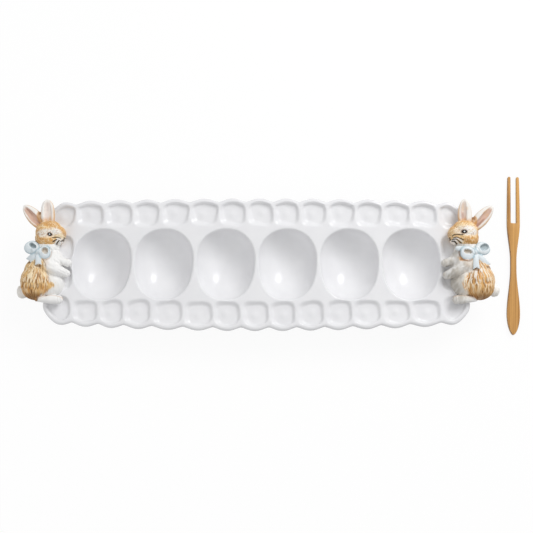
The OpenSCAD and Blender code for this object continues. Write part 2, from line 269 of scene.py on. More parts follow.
def settle_modifiers(obj: bpy.types.Object) -> None:
    """Makes the shape that an object's modifiers give its own mesh.

    Args:
        obj: Object that loses its modifiers.
    """
    bpy.context.view_layer.update()
    seen = obj.evaluated_get(bpy.context.evaluated_depsgraph_get())
    mesh = bpy.data.meshes.new_from_object(seen)
    old = obj.data
    obj.modifiers.clear()
    obj.data = mesh
    mesh.name = old.name
    bpy.data.meshes.remove(old)
    mesh.shade_smooth()


def fuse_clay(obj: bpy.types.Object, voxel: float, rounds: int) -> None:
    """Joins lumps of clay into one skin and wipes the seams smooth.

    Args:
        obj: Object whose mesh is made of closed lumps.
        voxel: Grain of the skin in millimetres.
        rounds: How often the seams are wiped.
    """
    skin = obj.modifiers.new("skin", "REMESH")
    skin.mode, skin.voxel_size = "VOXEL", voxel * MM
    wipe = obj.modifiers.new("wipe", "SMOOTH")
    wipe.factor, wipe.iterations = 0.5, rounds
    settle_modifiers(obj)


def hand_in(
    obj: bpy.types.Object, material: bpy.types.Material, body: Body, nodes: Sequence[str]
) -> None:
    """Dresses a finished piece and ties it to the part's frame.

    Args:
        obj: The piece.
        material: Its finish.
        body: Body that it rides on.
        nodes: Nodes of the part that it stands for.
    """
    obj.data.materials.clear()
    obj.data.materials.append(material)
    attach(obj, body.value)
    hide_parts(*nodes)
    LOG.info("%s: %d faces", obj.name, len(obj.data.polygons))


# Finishes


def node_of(material: bpy.types.Material, kind: str, **sockets: object) -> bpy.types.Node:
    """Adds a shader node and sets some of its inputs.

    Args:
        material: Material that gets the node.
        kind: Type of the node.
        sockets: Values by the names of the inputs, with _ for a space.

    Returns:
        The new node.
    """
    node = material.node_tree.nodes.new(kind)
    for name, value in sockets.items():
        node.inputs[name.replace("_", " ")].default_value = value
    return node


def new_finish(name: str) -> tuple[bpy.types.Material, bpy.types.Node]:
    """Starts a material.

    Args:
        name: Its name.

    Returns:
        The material and its main shader.
    """
    made = bpy.data.materials.new(name)
    made.use_nodes = True
    return made, made.node_tree.nodes["Principled BSDF"]


def two_tone(
    material: bpy.types.Material, low: Colour, high: Colour, span: Spot = (0.0, 1.0)
) -> bpy.types.Node:
    """Adds a ramp from one colour to another.

    Args:
        material: Material that gets the node.
        low: First colour.
        high: Second colour.
        span: Places of the two colours.

    Returns:
        The ramp.
    """
    ramp = node_of(material, "ShaderNodeValToRGB")
    for stop, place, colour in zip(ramp.color_ramp.elements, span, (low, high)):
        stop.position, stop.color = place, (*colour, 1.0)
    return ramp


def grain_bump(
    material: bpy.types.Material, scale: float, strength: float, distance: float
) -> tuple[bpy.types.Node, bpy.types.Node]:
    """Fine unevenness of a surface from noise on object coordinates.

    Args:
        material: Material that gets it.
        scale: Swells to the metre.
        strength: Strength of the bump.
        distance: Height of the bump in metres.

    Returns:
        The noise node and the bump node.
    """
    links = material.node_tree.links
    where = node_of(material, "ShaderNodeTexCoord")
    noise = node_of(material, "ShaderNodeTexNoise", Scale=scale, Detail=3.0)
    bump = node_of(material, "ShaderNodeBump", Strength=strength, Distance=distance)
    links.new(where.outputs["Object"], noise.inputs["Vector"])
    links.new(noise.outputs["Fac"], bump.inputs["Height"])
    return noise, bump


@dataclass(frozen=True)
class Glaze:
    """Clear gloss glaze over white or painted clay."""

    name: str
    colour: Colour = WHITE_GLAZE
    painted: bool = False
    roughness: tuple[float, float] = (0.11, 0.17)
    ripple_scale: float = 60.0
    ripple: float = 0.12
    ripple_h: float = 0.0004
    cloud: Colour = (0.965, 0.965, 0.97)
    swell: tuple[float, float] = (0.3, 0.7)

    def material(self) -> bpy.types.Material:
        """Builds the glaze.

        Returns:
            The material.
        """
        made, shader = new_finish(self.name)
        links = made.node_tree.links
        shader.inputs["Specular IOR Level"].default_value = 0.25 if self.painted else 0.5
        shader.inputs["IOR"].default_value = 1.5
        noise, bump = grain_bump(made, self.ripple_scale, self.ripple, self.ripple_h)
        links.new(bump.outputs["Normal"], shader.inputs["Normal"])
        smooth, rough = self.roughness
        low, high = self.swell
        gloss = node_of(made, "ShaderNodeMapRange", From_Min=low, From_Max=high, To_Min=smooth, To_Max=rough)
        links.new(noise.outputs["Fac"], gloss.inputs["Value"])
        links.new(gloss.outputs["Result"], shader.inputs["Roughness"])
        cloud = two_tone(made, self.cloud, (1.0, 1.0, 1.0), self.swell)
        links.new(noise.outputs["Fac"], cloud.inputs["Fac"])
        tint = node_of(made, "ShaderNodeMix")
        tint.data_type, tint.blend_type = "RGBA", "MULTIPLY"
        tint.inputs["Factor"].default_value = 1.0
        colour_in, cloud_in = (s for s in tint.inputs if s.type == "RGBA")
        links.new(cloud.outputs["Color"], cloud_in)
        if self.painted:
            paint = node_of(made, "ShaderNodeAttribute")
            paint.attribute_name = PAINT
            links.new(paint.outputs["Color"], colour_in)
        else:
            colour_in.default_value = (*self.colour, 1.0)
        colour_out = next(s for s in tint.outputs if s.type == "RGBA")
        links.new(colour_out, shader.inputs["Base Color"])
        return made


@dataclass(frozen=True)
class Bamboo:
    """Carbonised bamboo with fibres along the fork."""

    name: str
    light: Colour = (0.66, 0.36, 0.112)
    dark: Colour = (0.36, 0.165, 0.045)
    fibres: Point = (900.0, 9.0, 900.0)
    bands: Point = (260.0, 3.0, 60.0)
    fibre_share: float = 0.6
    edge_shade: float = -0.07
    turn: float = 3.0

    def material(self) -> bpy.types.Material:
        """Builds the bamboo.

        Returns:
            The material.
        """
        made, shader = new_finish(self.name)
        links = made.node_tree.links
        shader.inputs["Roughness"].default_value = 0.42
        shader.inputs["Specular IOR Level"].default_value = 0.35
        where = node_of(made, "ShaderNodeTexCoord")
        along = node_of(made, "ShaderNodeMapping", Rotation=(0.0, 0.0, math.radians(self.turn)))
        links.new(where.outputs["Object"], along.inputs["Vector"])
        fibre = node_of(made, "ShaderNodeTexNoise", Scale=1.0, Detail=4.0, Roughness=0.6)
        shade = node_of(made, "ShaderNodeTexNoise", Scale=1.0, Detail=2.0)
        for scale, noise in ((self.fibres, fibre), (self.bands, shade)):
            stretch = node_of(made, "ShaderNodeMapping", Scale=scale)
            links.new(along.outputs["Vector"], stretch.inputs["Vector"])
            links.new(stretch.outputs["Vector"], noise.inputs["Vector"])
        facing = node_of(made, "ShaderNodeSeparateXYZ")
        links.new(where.outputs["Normal"], facing.inputs["Vector"])
        tone = node_of(
            made, "ShaderNodeMapRange", From_Min=0.2, From_Max=0.8, To_Min=self.edge_shade, To_Max=0.0
        )
        links.new(facing.outputs["Z"], tone.inputs["Value"])
        tone = tone.outputs["Result"]
        for noise, share in ((shade, 1.0 - self.fibre_share), (fibre, self.fibre_share)):
            both = node_of(made, "ShaderNodeMath")
            both.operation = "MULTIPLY_ADD"
            both.inputs[1].default_value = share
            links.new(noise.outputs["Fac"], both.inputs[0])
            links.new(tone, both.inputs[2])
            tone = both.outputs["Value"]
        ramp = two_tone(made, self.dark, self.light, (0.40, 0.58))
        links.new(tone, ramp.inputs["Fac"])
        links.new(ramp.outputs["Color"], shader.inputs["Base Color"])
        bump = node_of(made, "ShaderNodeBump", Strength=0.25, Distance=0.0003)
        links.new(fibre.outputs["Fac"], bump.inputs["Height"])
        links.new(bump.outputs["Normal"], shader.inputs["Normal"])
        return made


@dataclass(frozen=True)
class FootGlaze:
    """White glaze that is wiped off the lower rim of the foot ring, down to the fired clay."""

    name: str
    glaze: Colour = WHITE_GLAZE
    clay: Colour = (0.70, 0.66, 0.60)
    wiped: tuple[float, float] = (0.0012, 0.0018)
    roughness: tuple[float, float] = (0.7, 0.14)

    def material(self) -> bpy.types.Material:
        """Builds the finish.

        Returns:
            The material.
        """
        made, shader = new_finish(self.name)
        links = made.node_tree.links
        where = node_of(made, "ShaderNodeTexCoord")
        split = node_of(made, "ShaderNodeSeparateXYZ")
        links.new(where.outputs["Object"], split.inputs["Vector"])
        low, high = self.wiped
        cover = node_of(made, "ShaderNodeMapRange", From_Min=low, From_Max=high)
        links.new(split.outputs["Z"], cover.inputs["Value"])
        _, bump = grain_bump(made, 900.0, 0.15, 0.0002)
        links.new(bump.outputs["Normal"], shader.inputs["Normal"])
        rough, smooth = self.roughness
        gloss = node_of(made, "ShaderNodeMapRange", To_Min=rough, To_Max=smooth)
        links.new(cover.outputs["Result"], gloss.inputs["Value"])
        links.new(gloss.outputs["Result"], shader.inputs["Roughness"])
        ramp = two_tone(made, self.clay, self.glaze)
        links.new(cover.outputs["Result"], ramp.inputs["Fac"])
        links.new(ramp.outputs["Color"], shader.inputs["Base Color"])
        return made


# Dish


@dataclass
class Thumbprint:
    """One pressed hollow of the border, in millimetres."""

    x: float
    y: float
    half_run: float
    half_in: float
    outward: tuple[int, int]
    depth: float
    seed: int
    square: float = 1.2
    drag: Spot = (0.8, 0.6)
    wall_start: float = 0.66
    wall_outer: float = 0.12
    wall_soft: float = 0.16
    wall_steep: float = 0.09
    bowl: float = 0.26
    round_power: float = 2.5
    run_spread: float = 0.02
    oval: float = 0.03
    three_sided: float = 0.022
    slip_x: float = 0.35
    slip_y: float = 0.3
    knuckle_x: float = 1.5
    knuckle_y: float = 1.2
    knuckle_h: float = 0.20
    knuckle_area: float = 13.0

    @property
    def slip(self) -> Spot:
        """How far the thumb landed off its place."""
        return self.slip_x * math.sin(self.seed * 2.4), self.slip_y * math.cos(self.seed * 1.7)

    @property
    def knuckle(self) -> Spot:
        """Middle of the slight swell on the hollow's floor."""
        return self.knuckle_x * math.sin(self.seed * 1.3), self.knuckle_y * math.cos(self.seed * 2.1)

    def press(self, x: Array, y: Array) -> Array:
        """Depth that the thumb leaves, round towards the edge and squarer towards the field.

        Args:
            x: Places along the dish.
            y: Places across the dish.

        Returns:
            The depth at each place.
        """
        ox, oy = self.outward
        dx, dy = x - self.x - self.slip[0], y - self.y - self.slip[1]
        out = (dx * ox + dy * oy) / self.half_in
        run = (dx * oy - dy * ox) / (self.half_run * (1 + self.run_spread * math.sin(self.seed * 3.1)))
        turn = np.arctan2(out, run)
        uneven = 1 + self.oval * np.sin(2 * turn + self.seed)
        uneven = uneven + self.three_sided * np.sin(3 * turn - self.seed)
        power = self.round_power + self.square * smooth_step(0.6, -0.5, out)
        rho = (np.abs(run) ** power + np.abs(out) ** power) ** (1 / power) * uneven
        dragged = -(self.drag[0] * dx + self.drag[1] * dy) / np.maximum(np.hypot(dx, dy), 0.1)
        start = self.wall_start + self.wall_outer * smooth_step(-0.2, 0.7, out)
        start = start - self.wall_soft * smooth_step(0.2, 0.9, dragged)
        start = start + self.wall_steep * smooth_step(-0.1, -0.8, dragged)
        wall = 1.0 - smooth_step(0.0, 1.0, (rho - start) / (1.01 - start))
        bowl = 1.0 - self.bowl + self.bowl * np.clip(1.0 - rho**2, 0.0, 1.0)
        kx, ky = self.knuckle
        swell = self.knuckle_h * np.exp(-((dx - kx) ** 2 + (dy - ky) ** 2) / self.knuckle_area)
        return self.depth * (bowl * wall - swell)


@dataclass
class Dish:
    """The dish with its wells, thumbprint border and foot ring, in millimetres."""

    length: float = 380.0
    width: float = 121.0
    front_bow: float = 6.0
    back_bow: float = 3.4
    rim_h: float = 27.0
    slab_t: float = 9.0
    edge_r: float = 3.6
    corner_w: float = 27.0
    scallop: float = 3.2
    corner_power: float = 3.2
    corner_swell: float = 2.8
    crest_share: float = 1.3
    edge_top: float = 2.3
    edge_tuck: float = 1.6
    under_inset: float = 3.6
    end_lobes: int = 2
    back_shares: tuple[float, ...] = (
        1.03, 1.02, 0.99, 1.05, 1.06, 0.98, 0.98, 0.94, 0.97, 1.02, 0.98, 0.98, 1.0,
    )
    front_shares: tuple[float, ...] = (
        0.93, 0.9, 0.98, 1.1, 1.05, 0.99, 0.98, 0.98, 0.98, 0.99, 1.0, 1.02, 1.09,
    )
    thumb_run: float = 24.6
    thumb_in: float = 24.2
    thumb_depth: float = 3.1
    thumb_rim: float = 2.3
    thumb_clear: float = 32.8
    thumb_reach: float = 16.0
    wave_h: float = 0.22
    wave_l: float = 26.0
    wave_seed: int = 5
    wells: int = 6
    well_w: float = 52.5
    well_l: float = 65.0
    well_depth: float = 20.0
    well_wall: float = 4.5
    end_border: float = 26.0
    blunt_share: float = 0.42
    blunt_power: float = 2.1
    point_power: float = 2.4
    lip: float = 1.1
    under_lip: float = 2.5
    well_shift: float = -0.8
    foot_inset: float = 16.0
    foot_t: float = 5.0
    foot_corner_r: float = 20.0
    foot_worn: float = 1.2
    foot_sunk: float = 2.0
    foot_steps: int = 12
    top_cells: tuple[int, int] = (456, 138)
    under_cells: tuple[int, int] = (216, 68)
    edge_steps: int = 14

    @property
    def half_l(self) -> float:
        """Half of the dish's length."""
        return self.length / 2

    @property
    def valley(self) -> tuple[float, float]:
        """Place where a corner's lobe starts."""
        return self.half_l - self.corner_w, self.side_y(self.half_l) - self.corner_w

    def side_y(self, x: Array | float, side: Array | float = -1.0) -> Array | float:
        """Half width of the bowed dish at x, on the back for a side above 0 and on the front otherwise."""
        bow = self.front_bow + (self.back_bow - self.front_bow) * (np.asarray(side) > 0)
        return self.width / 2 - bow * (x / self.half_l) ** 2

    def crest(self, t: Array) -> Array:
        """Rise of the scallop, 0 between two lobes and 1 on a lobe."""
        return np.abs(np.sin(math.pi * t)) ** self.crest_share

    def valleys(self, shares: Sequence[float]) -> Array:
        """Places between the lobes of a long side.

        Args:
            shares: Widths of the lobes from left to right.

        Returns:
            The places along x.
        """
        run = np.concatenate(([0.0], np.cumsum(shares)))
        return self.valley[0] * (2.0 * run / run[-1] - 1.0)

    def lobes_before(self, x: Array, shares: Sequence[float]) -> Array:
        """Count of lobes to the left of x on a long side."""
        return np.interp(x, self.valleys(shares), np.arange(len(shares) + 1))

    def plan(self, u: Array, v: Array) -> tuple[Array, Array, Array, Array]:
        """Spreads a square over the field, up to the start of the rounded edge.

        Args:
            u: Places along the square, from -1 to 1.
            v: Places across the square, from -1 to 1.

        Returns:
            The x and y of each place, and the x and y of its outward direction.
        """
        vx, vy = self.valley
        edge = self.edge_r
        ub, vb = vx / (self.half_l - edge), vy / (self.side_y(self.half_l) - edge)
        s, t = np.abs(u), np.abs(v)
        a, b = np.clip((s - ub) / (1 - ub), 0, 1), np.clip((t - vb) / (1 - vb), 0, 1)
        x, y = np.minimum(s / ub, 1.0) * vx, np.minimum(t / vb, 1.0) * vy
        before = np.where(
            v > 0,
            self.lobes_before(np.sign(u) * x, self.back_shares),
            self.lobes_before(np.sign(u) * x, self.front_shares),
        )
        reach_y = self.side_y(x, v) - self.scallop * (1 - self.crest(before)) - edge - vy
        reach_x = self.half_l - self.scallop * (1 - self.crest((y / vy + 1) / 2 * self.end_lobes)) - edge - vx
        power = self.corner_power
        m = np.maximum(a, b)
        norm = np.maximum((a**power + b**power) ** (1 / power), 1e-9)
        ca, cb = a * m / norm, b * m / norm
        angle = np.arctan2(cb ** (power / 2), ca ** (power / 2))
        corner = (a > 0) & (b > 0)
        swell_x = self.corner_swell * self.crest(cb) * ca**2
        swell_y = self.corner_swell * self.crest(ca) * cb**2
        cx = vx + (reach_x + edge) * ca - edge * m * np.cos(angle) + swell_x
        cy = vy + (reach_y + edge) * cb - edge * m * np.sin(angle) + swell_y
        x, y = np.where(corner, cx, x + a * reach_x), np.where(corner, cy, y + b * reach_y)
        end = (a > 0) & (b == 0)
        nx = np.where(corner, np.cos(angle), np.where(end, 1.0, 0.0))
        ny = np.where(corner, np.sin(angle), np.where(end, 0.0, 1.0))
        return np.sign(u) * x, np.sign(v) * y, np.sign(u) * nx, np.sign(v) * ny

    def thumbprints(self) -> list[Thumbprint]:
        """Lays out the pressed hollows, one to a lobe.

        Returns:
            The hollows along both sides, both ends and at the corners.
        """
        made: list[Thumbprint] = []
        half_run, half_in, deep = self.thumb_run / 2, self.thumb_in / 2, self.thumb_depth
        for sign, shares in ((1, self.back_shares), (-1, self.front_shares)):
            edges = self.valleys(shares)
            for k, share in enumerate(shares):
                x = (edges[k] + edges[k + 1]) / 2
                reach = min(half_in, (self.side_y(x, sign) - self.thumb_rim - self.thumb_clear) / 2)
                y = sign * (self.side_y(x, sign) - self.thumb_rim - reach)
                made.append(Thumbprint(x, y, half_run * share, reach, (0, sign), deep, len(made)))
        vy = self.valley[1]
        end_x = self.half_l - self.thumb_rim - half_in
        for sign in (-1, 1):
            for k in range(self.end_lobes):
                y = -vy + 2 * vy * (k + 0.5) / self.end_lobes
                made.append(Thumbprint(sign * end_x, y, half_run, half_in, (sign, 0), deep, len(made)))
            for back in (-1, 1):
                y = back * (self.side_y(end_x, back) - self.thumb_rim - half_in)
                made.append(Thumbprint(sign * end_x, y, half_run, half_in, (0, back), deep, len(made), 0.0))
        return made

    def well_surface(self, x: Array, y: Array, wall: float) -> Array:
        """Height of the wells' wall, inside for no wall and outside for the full wall.

        Args:
            x: Places along the dish.
            y: Places across the dish.
            wall: Distance from the inner face.

        Returns:
            The height of the nearest well's face.
        """
        pitch = (self.length - 2 * self.end_border - self.well_w) / (self.wells - 1)
        middle = (self.wells - 1) / 2
        off = x - pitch * (np.clip(np.round(x / pitch + middle), 0, self.wells - 1) - middle)
        half = self.well_w / 2
        radius = (half**2 + self.well_depth**2) / (2 * self.well_depth)
        blunt = self.well_l * self.blunt_share
        point = self.well_l - blunt
        t = y - (point - blunt) / 2 - self.well_shift
        power = self.blunt_power + (self.point_power - self.blunt_power) * smooth_step(8.0, -8.0, t)
        run = np.where(t > 0, blunt, point) + wall
        rho = (np.abs(off / (half + wall)) ** power + np.abs(t / run) ** power) ** (1 / power) * (half + wall)
        axis = self.rim_h + radius - self.well_depth
        inside = np.sqrt(np.maximum((radius + wall) ** 2 - rho**2, 0.0))
        return axis - inside + 2.0 * np.maximum(rho - radius - wall, 0.0)

    def top(self, x: Array, y: Array) -> Array:
        """Height of the glazed field with its wells and thumbprints.

        Args:
            x: Places along the dish.
            y: Places across the dish.

        Returns:
            The height at each place.
        """
        pressed = np.zeros(x.shape)
        for thumb in self.thumbprints():
            near = (np.abs(x - thumb.x) < self.thumb_reach) & (np.abs(y - thumb.y) < self.thumb_reach)
            pressed[near] = np.maximum(pressed[near], thumb.press(x[near], y[near]))
        wave = mottle(x / self.wave_l, y / self.wave_l, self.wave_seed) - 0.5
        field = np.minimum(self.rim_h - pressed - self.wave_h * wave, self.rim_h)
        return soft_min(field, self.well_surface(x, y, 0.0), self.lip)

    def under(self, x: Array, y: Array) -> Array:
        """Height of the underside with the cups of the wells."""
        flat = np.full(x.shape, self.rim_h - self.slab_t)
        return soft_min(flat, self.well_surface(x, y, self.well_wall), self.under_lip)

    def build(self) -> bpy.types.Object:
        """Models the dish as one closed shell.

        Returns:
            The dish without its foot ring.
        """
        bm = bmesh.new()
        home = bm.verts.layers.float_vector.new("home")
        ring = bm.verts.layers.int.new("ring")
        bmesh.ops.create_grid(bm, x_segments=self.top_cells[0], y_segments=self.top_cells[1], size=1.0)
        for vert in bm.verts:
            vert[home] = vert.co
        loop = [e for e in bm.edges if e.is_boundary]
        for step in range(1, self.edge_steps + 1):
            made = bmesh.ops.extrude_edge_only(bm, edges=loop)["geom"]
            loop = [g for g in made if isinstance(g, bmesh.types.BMEdge)]
            for vert in (g for g in made if isinstance(g, bmesh.types.BMVert)):
                vert[ring] = step
        along, across = self.under_cells
        under = bmesh.ops.create_grid(bm, x_segments=along, y_segments=across, size=1.0)
        for vert in under["verts"]:
            vert[home], vert[ring] = vert.co, -1
        inner = dict.fromkeys(e for v in under["verts"] for e in v.link_edges if e.is_boundary)
        below = dict.fromkeys(f for v in under["verts"] for f in v.link_faces)
        bmesh.ops.reverse_faces(bm, faces=list(below))
        bmesh.ops.bridge_loops(bm, edges=loop + list(inner))
        obj = mesh_object("dish_glazed", bm)
        self._shape(obj.data)
        bm = bmesh.new()
        bm.from_mesh(obj.data)
        bmesh.ops.recalc_face_normals(bm, faces=bm.faces)
        bm.to_mesh(obj.data)
        bm.free()
        for name in ("home", "ring"):
            obj.data.attributes.remove(obj.data.attributes[name])
        return obj

    def _shape(self, mesh: bpy.types.Mesh) -> None:
        """Moves the shell's points to the dish's surfaces.

        Args:
            mesh: The shell, whose points know their place on a square and their ring of the edge.
        """
        n = len(mesh.vertices)
        home, ring = np.empty(n * 3), np.empty(n, np.int32)
        mesh.attributes["home"].data.foreach_get("vector", home)
        mesh.attributes["ring"].data.foreach_get("value", ring)
        home = home.reshape(-1, 3)
        reach = np.array((self.half_l, float(self.side_y(self.half_l)))) - self.edge_r
        square = home[:, :2] * np.where(ring[:, None] < 0, 1.0 - self.under_inset / reach, 1.0)
        x, y, nx, ny = self.plan(square[:, 0], square[:, 1])
        out, rounded = self.edge_profile(np.maximum(ring, 0) / self.edge_steps)
        z = np.where(ring > 0, rounded, np.where(ring < 0, self.under(x, y), self.top(x, y)))
        border = (ring == 0) & (np.abs(home[:, :2]).max(axis=1) > 1 - 1e-6)
        z = np.where(border, self.rim_h, z)
        out = np.where(ring > 0, out, 0.0)
        move_points(mesh, np.stack((x + out * nx, y + out * ny, z), axis=1))

    def edge_profile(self, t: Array) -> tuple[Array, Array]:
        """Section of the rim: a tight upper corner, widest just under it, and a long tucked-in underside.

        Args:
            t: Share of the way round the edge, from the field to the underside.

        Returns:
            The reach outwards and the height.
        """
        a = np.clip(t / 0.45, 0.0, 1.0) * math.pi / 2
        b = np.clip((t - 0.45) / 0.55, 0.0, 1.0) * math.pi / 2
        out = self.edge_r * np.sin(a) ** 0.8 - (self.edge_r + self.edge_tuck) * (1 - np.cos(b))
        high = self.edge_top * (1 - np.clip(np.cos(a), 0.0, 1.0) ** 0.8)
        return out, self.rim_h - high - (self.slab_t - self.edge_top) * np.sin(b)

    def foot_loop(self, inset: float) -> list[Spot]:
        """Rounded outline of the foot ring.

        Args:
            inset: Distance in from the dish's edge.

        Returns:
            The outline's points, anticlockwise.
        """
        r = self.foot_corner_r
        x = self.half_l - inset - r
        y = float(self.side_y(x)) - inset - r
        made = []
        for quarter, (sx, sy) in enumerate(((1, 1), (-1, 1), (-1, -1), (1, -1))):
            for k in range(self.foot_steps + 1):
                a = math.pi / 2 * (quarter + k / self.foot_steps)
                made.append((sx * x + r * math.cos(a), sy * y + r * math.sin(a)))
        return made

    def build_foot(self) -> bpy.types.Object:
        """Models the foot ring with its worn lower edge.

        Returns:
            The ring.
        """
        bm = bmesh.new()
        loops = []
        for inset in (self.foot_inset, self.foot_inset + self.foot_t):
            verts = [bm.verts.new((px * MM, py * MM, 0.0)) for px, py in self.foot_loop(inset)]
            loops += [bm.edges.new((a, b)) for a, b in zip(verts, verts[1:] + verts[:1])]
        faces = bmesh.ops.bridge_loops(bm, edges=loops)["faces"]
        made = bmesh.ops.extrude_face_region(bm, geom=faces)["geom"]
        rise = Vector((0.0, 0.0, (self.rim_h - self.slab_t + self.foot_sunk) * MM))
        bmesh.ops.translate(bm, verts=[g for g in made if isinstance(g, bmesh.types.BMVert)], vec=rise)
        low = [e for e in bm.edges if all(v.co.z < 1e-6 for v in e.verts) and len(e.link_faces) == 2]
        sharp = [e for e in low if e.calc_face_angle(0.0) > 0.5]
        bmesh.ops.bevel(
            bm, geom=sharp, offset=self.foot_worn * MM, segments=3, profile=0.5, affect="EDGES", material=-1,
            offset_type="OFFSET",
        )
        bmesh.ops.recalc_face_normals(bm, faces=bm.faces)
        return mesh_object("dish_foot_ring", bm)


# Rabbits


class Layer(Enum):
    """Patterns of a rabbit's clay and paint, with what each adds to the rabbit's seed."""

    WISP = 0
    CROSS_WISP = 1
    GAP = 2
    FRINGE = 8
    TAIL = 31
    CHEST = 33
    ARM = 35
    BELLY = 37
    BROAD = 41
    GRAIN = 43
    DAB = 51
    DOT = 52
    HAIR = 57
    SPECK = 58
    EAR = 61
    RIBBON = 71


SWAY_SEED = 5


@dataclass(frozen=True)
class FurColours:
    """Paints of the rabbits, as linear colours."""

    white: Colour = (0.91, 0.905, 0.89)
    # shaded: painted shade that greys the white fur and ears
    shaded: Colour = (0.56, 0.53, 0.48)
    ear: Colour = (0.95, 0.93, 0.90)
    cream: Colour = (0.96, 0.83, 0.60)
    ivory: Colour = (0.88, 0.84, 0.77)
    golden: Colour = (0.81, 0.535, 0.235)
    tan: Colour = (0.72, 0.46, 0.22)
    ochre: Colour = (0.68, 0.355, 0.11)
    caramel: Colour = (0.52, 0.26, 0.085)
    brown: Colour = (0.25, 0.11, 0.036)
    dark: Colour = (0.035, 0.02, 0.013)
    pink: Colour = (0.63, 0.40, 0.30)
    rose: Colour = (0.40, 0.21, 0.145)
    black: Colour = (0.005, 0.005, 0.006)
    shine: Colour = (0.95, 0.95, 0.95)
    blue: Colour = (0.64, 0.725, 0.765)
    blue_light: Colour = (0.82, 0.865, 0.885)
    blue_edge: Colour = (0.40, 0.54, 0.60)
    # hollow: darker grey-blue inside the bow's loops, partly painted shade
    hollow: Colour = (0.22, 0.285, 0.31)


FUR = FurColours()


@dataclass(frozen=True)
class Patch:
    """A turned ellipse seen from above, in a rabbit's own millimetres."""

    at: Spot
    half: Spot
    turn: float = 0.0

    def rho(self, x: Array, y: Array) -> Array:
        """Distance from the middle, 1 on the edge."""
        return blob(x, y, self.at, self.half, self.turn)

    def cover(self, x: Array, y: Array, edge: float, full: float) -> Array:
        """Soft cover, from 0 at one distance from the middle to 1 at another."""
        return smooth_step(edge, full, self.rho(x, y))

    def dome(self, x: Array, y: Array) -> Array:
        """Soft swell, 1 in the middle."""
        return np.exp(-(self.rho(x, y) ** 2))

    def grown(self, wide: float, tall: float) -> "Patch":
        """The same ellipse with its half axes scaled."""
        return Patch(self.at, (self.half[0] * wide, self.half[1] * tall), self.turn)


@dataclass(frozen=True)
class Dab:
    """One brushed patch of paint, in the rabbit's own millimetres."""

    paint: Colour
    at: Spot
    half: Spot
    turn: float = 0.0
    cover: float = 0.9

    def lay(self, col: Array, x: Array, y: Array, ragged: Array) -> Array:
        """Brushes the patch over the colours so far, with a ragged edge."""
        there = smooth_step(1.2, 0.62, blob(x, y, self.at, self.half, self.turn) + 0.45 * ragged)
        return mix(col, self.paint, self.cover * there)


@dataclass(frozen=True)
class Lump:
    """One ellipsoid of clay: middle, half axes and turn, in the rabbit's own millimetres."""

    at: Point
    half: Point
    turn: float = 0.0

    @property
    def plan(self) -> Patch:
        """The lump's outline from above."""
        return Patch(self.at[:2], self.half[:2], self.turn)

    def far(self, x: Array, y: Array, z: Array) -> Array:
        """Distance from the middle, 1 on the skin."""
        return np.hypot(self.plan.rho(x, y), (z - self.at[2]) / self.half[2])

    def add_to(self, bm: bmesh.types.BMesh, place: Matrix, fineness: int = 4) -> None:
        """Presses the lump on to the clay.

        Args:
            bm: The clay so far.
            place: Carries the rabbit's millimetres to the set.
            fineness: How often the ball's faces are split.
        """
        size = Matrix.Diagonal((*self.half, 1.0))
        own = Matrix.Translation(self.at) @ Matrix.Rotation(math.radians(self.turn), 4, "Z") @ size
        bmesh.ops.create_icosphere(bm, subdivisions=fineness, radius=1.0, matrix=place @ own)


def limb(path: Sequence[Point], girth: Sequence[float], flat: float = 1.0, beads: int = 9) -> list[Lump]:
    """A limb rolled along a path, as a row of lumps.

    Args:
        path: Places that the limb passes.
        girth: Half width at each of these places.
        flat: Thickness as a share of the width.
        beads: Lumps to each stretch.

    Returns:
        The lumps.
    """
    made = []
    for (a, b), (ra, rb) in zip(zip(path, path[1:]), zip(girth, girth[1:])):
        for k in range(beads + 1):
            t = k / beads
            r = ra + (rb - ra) * t
            made.append(Lump(tuple(p + (q - p) * t for p, q in zip(a, b)), (r, r, r * flat)))
    return made


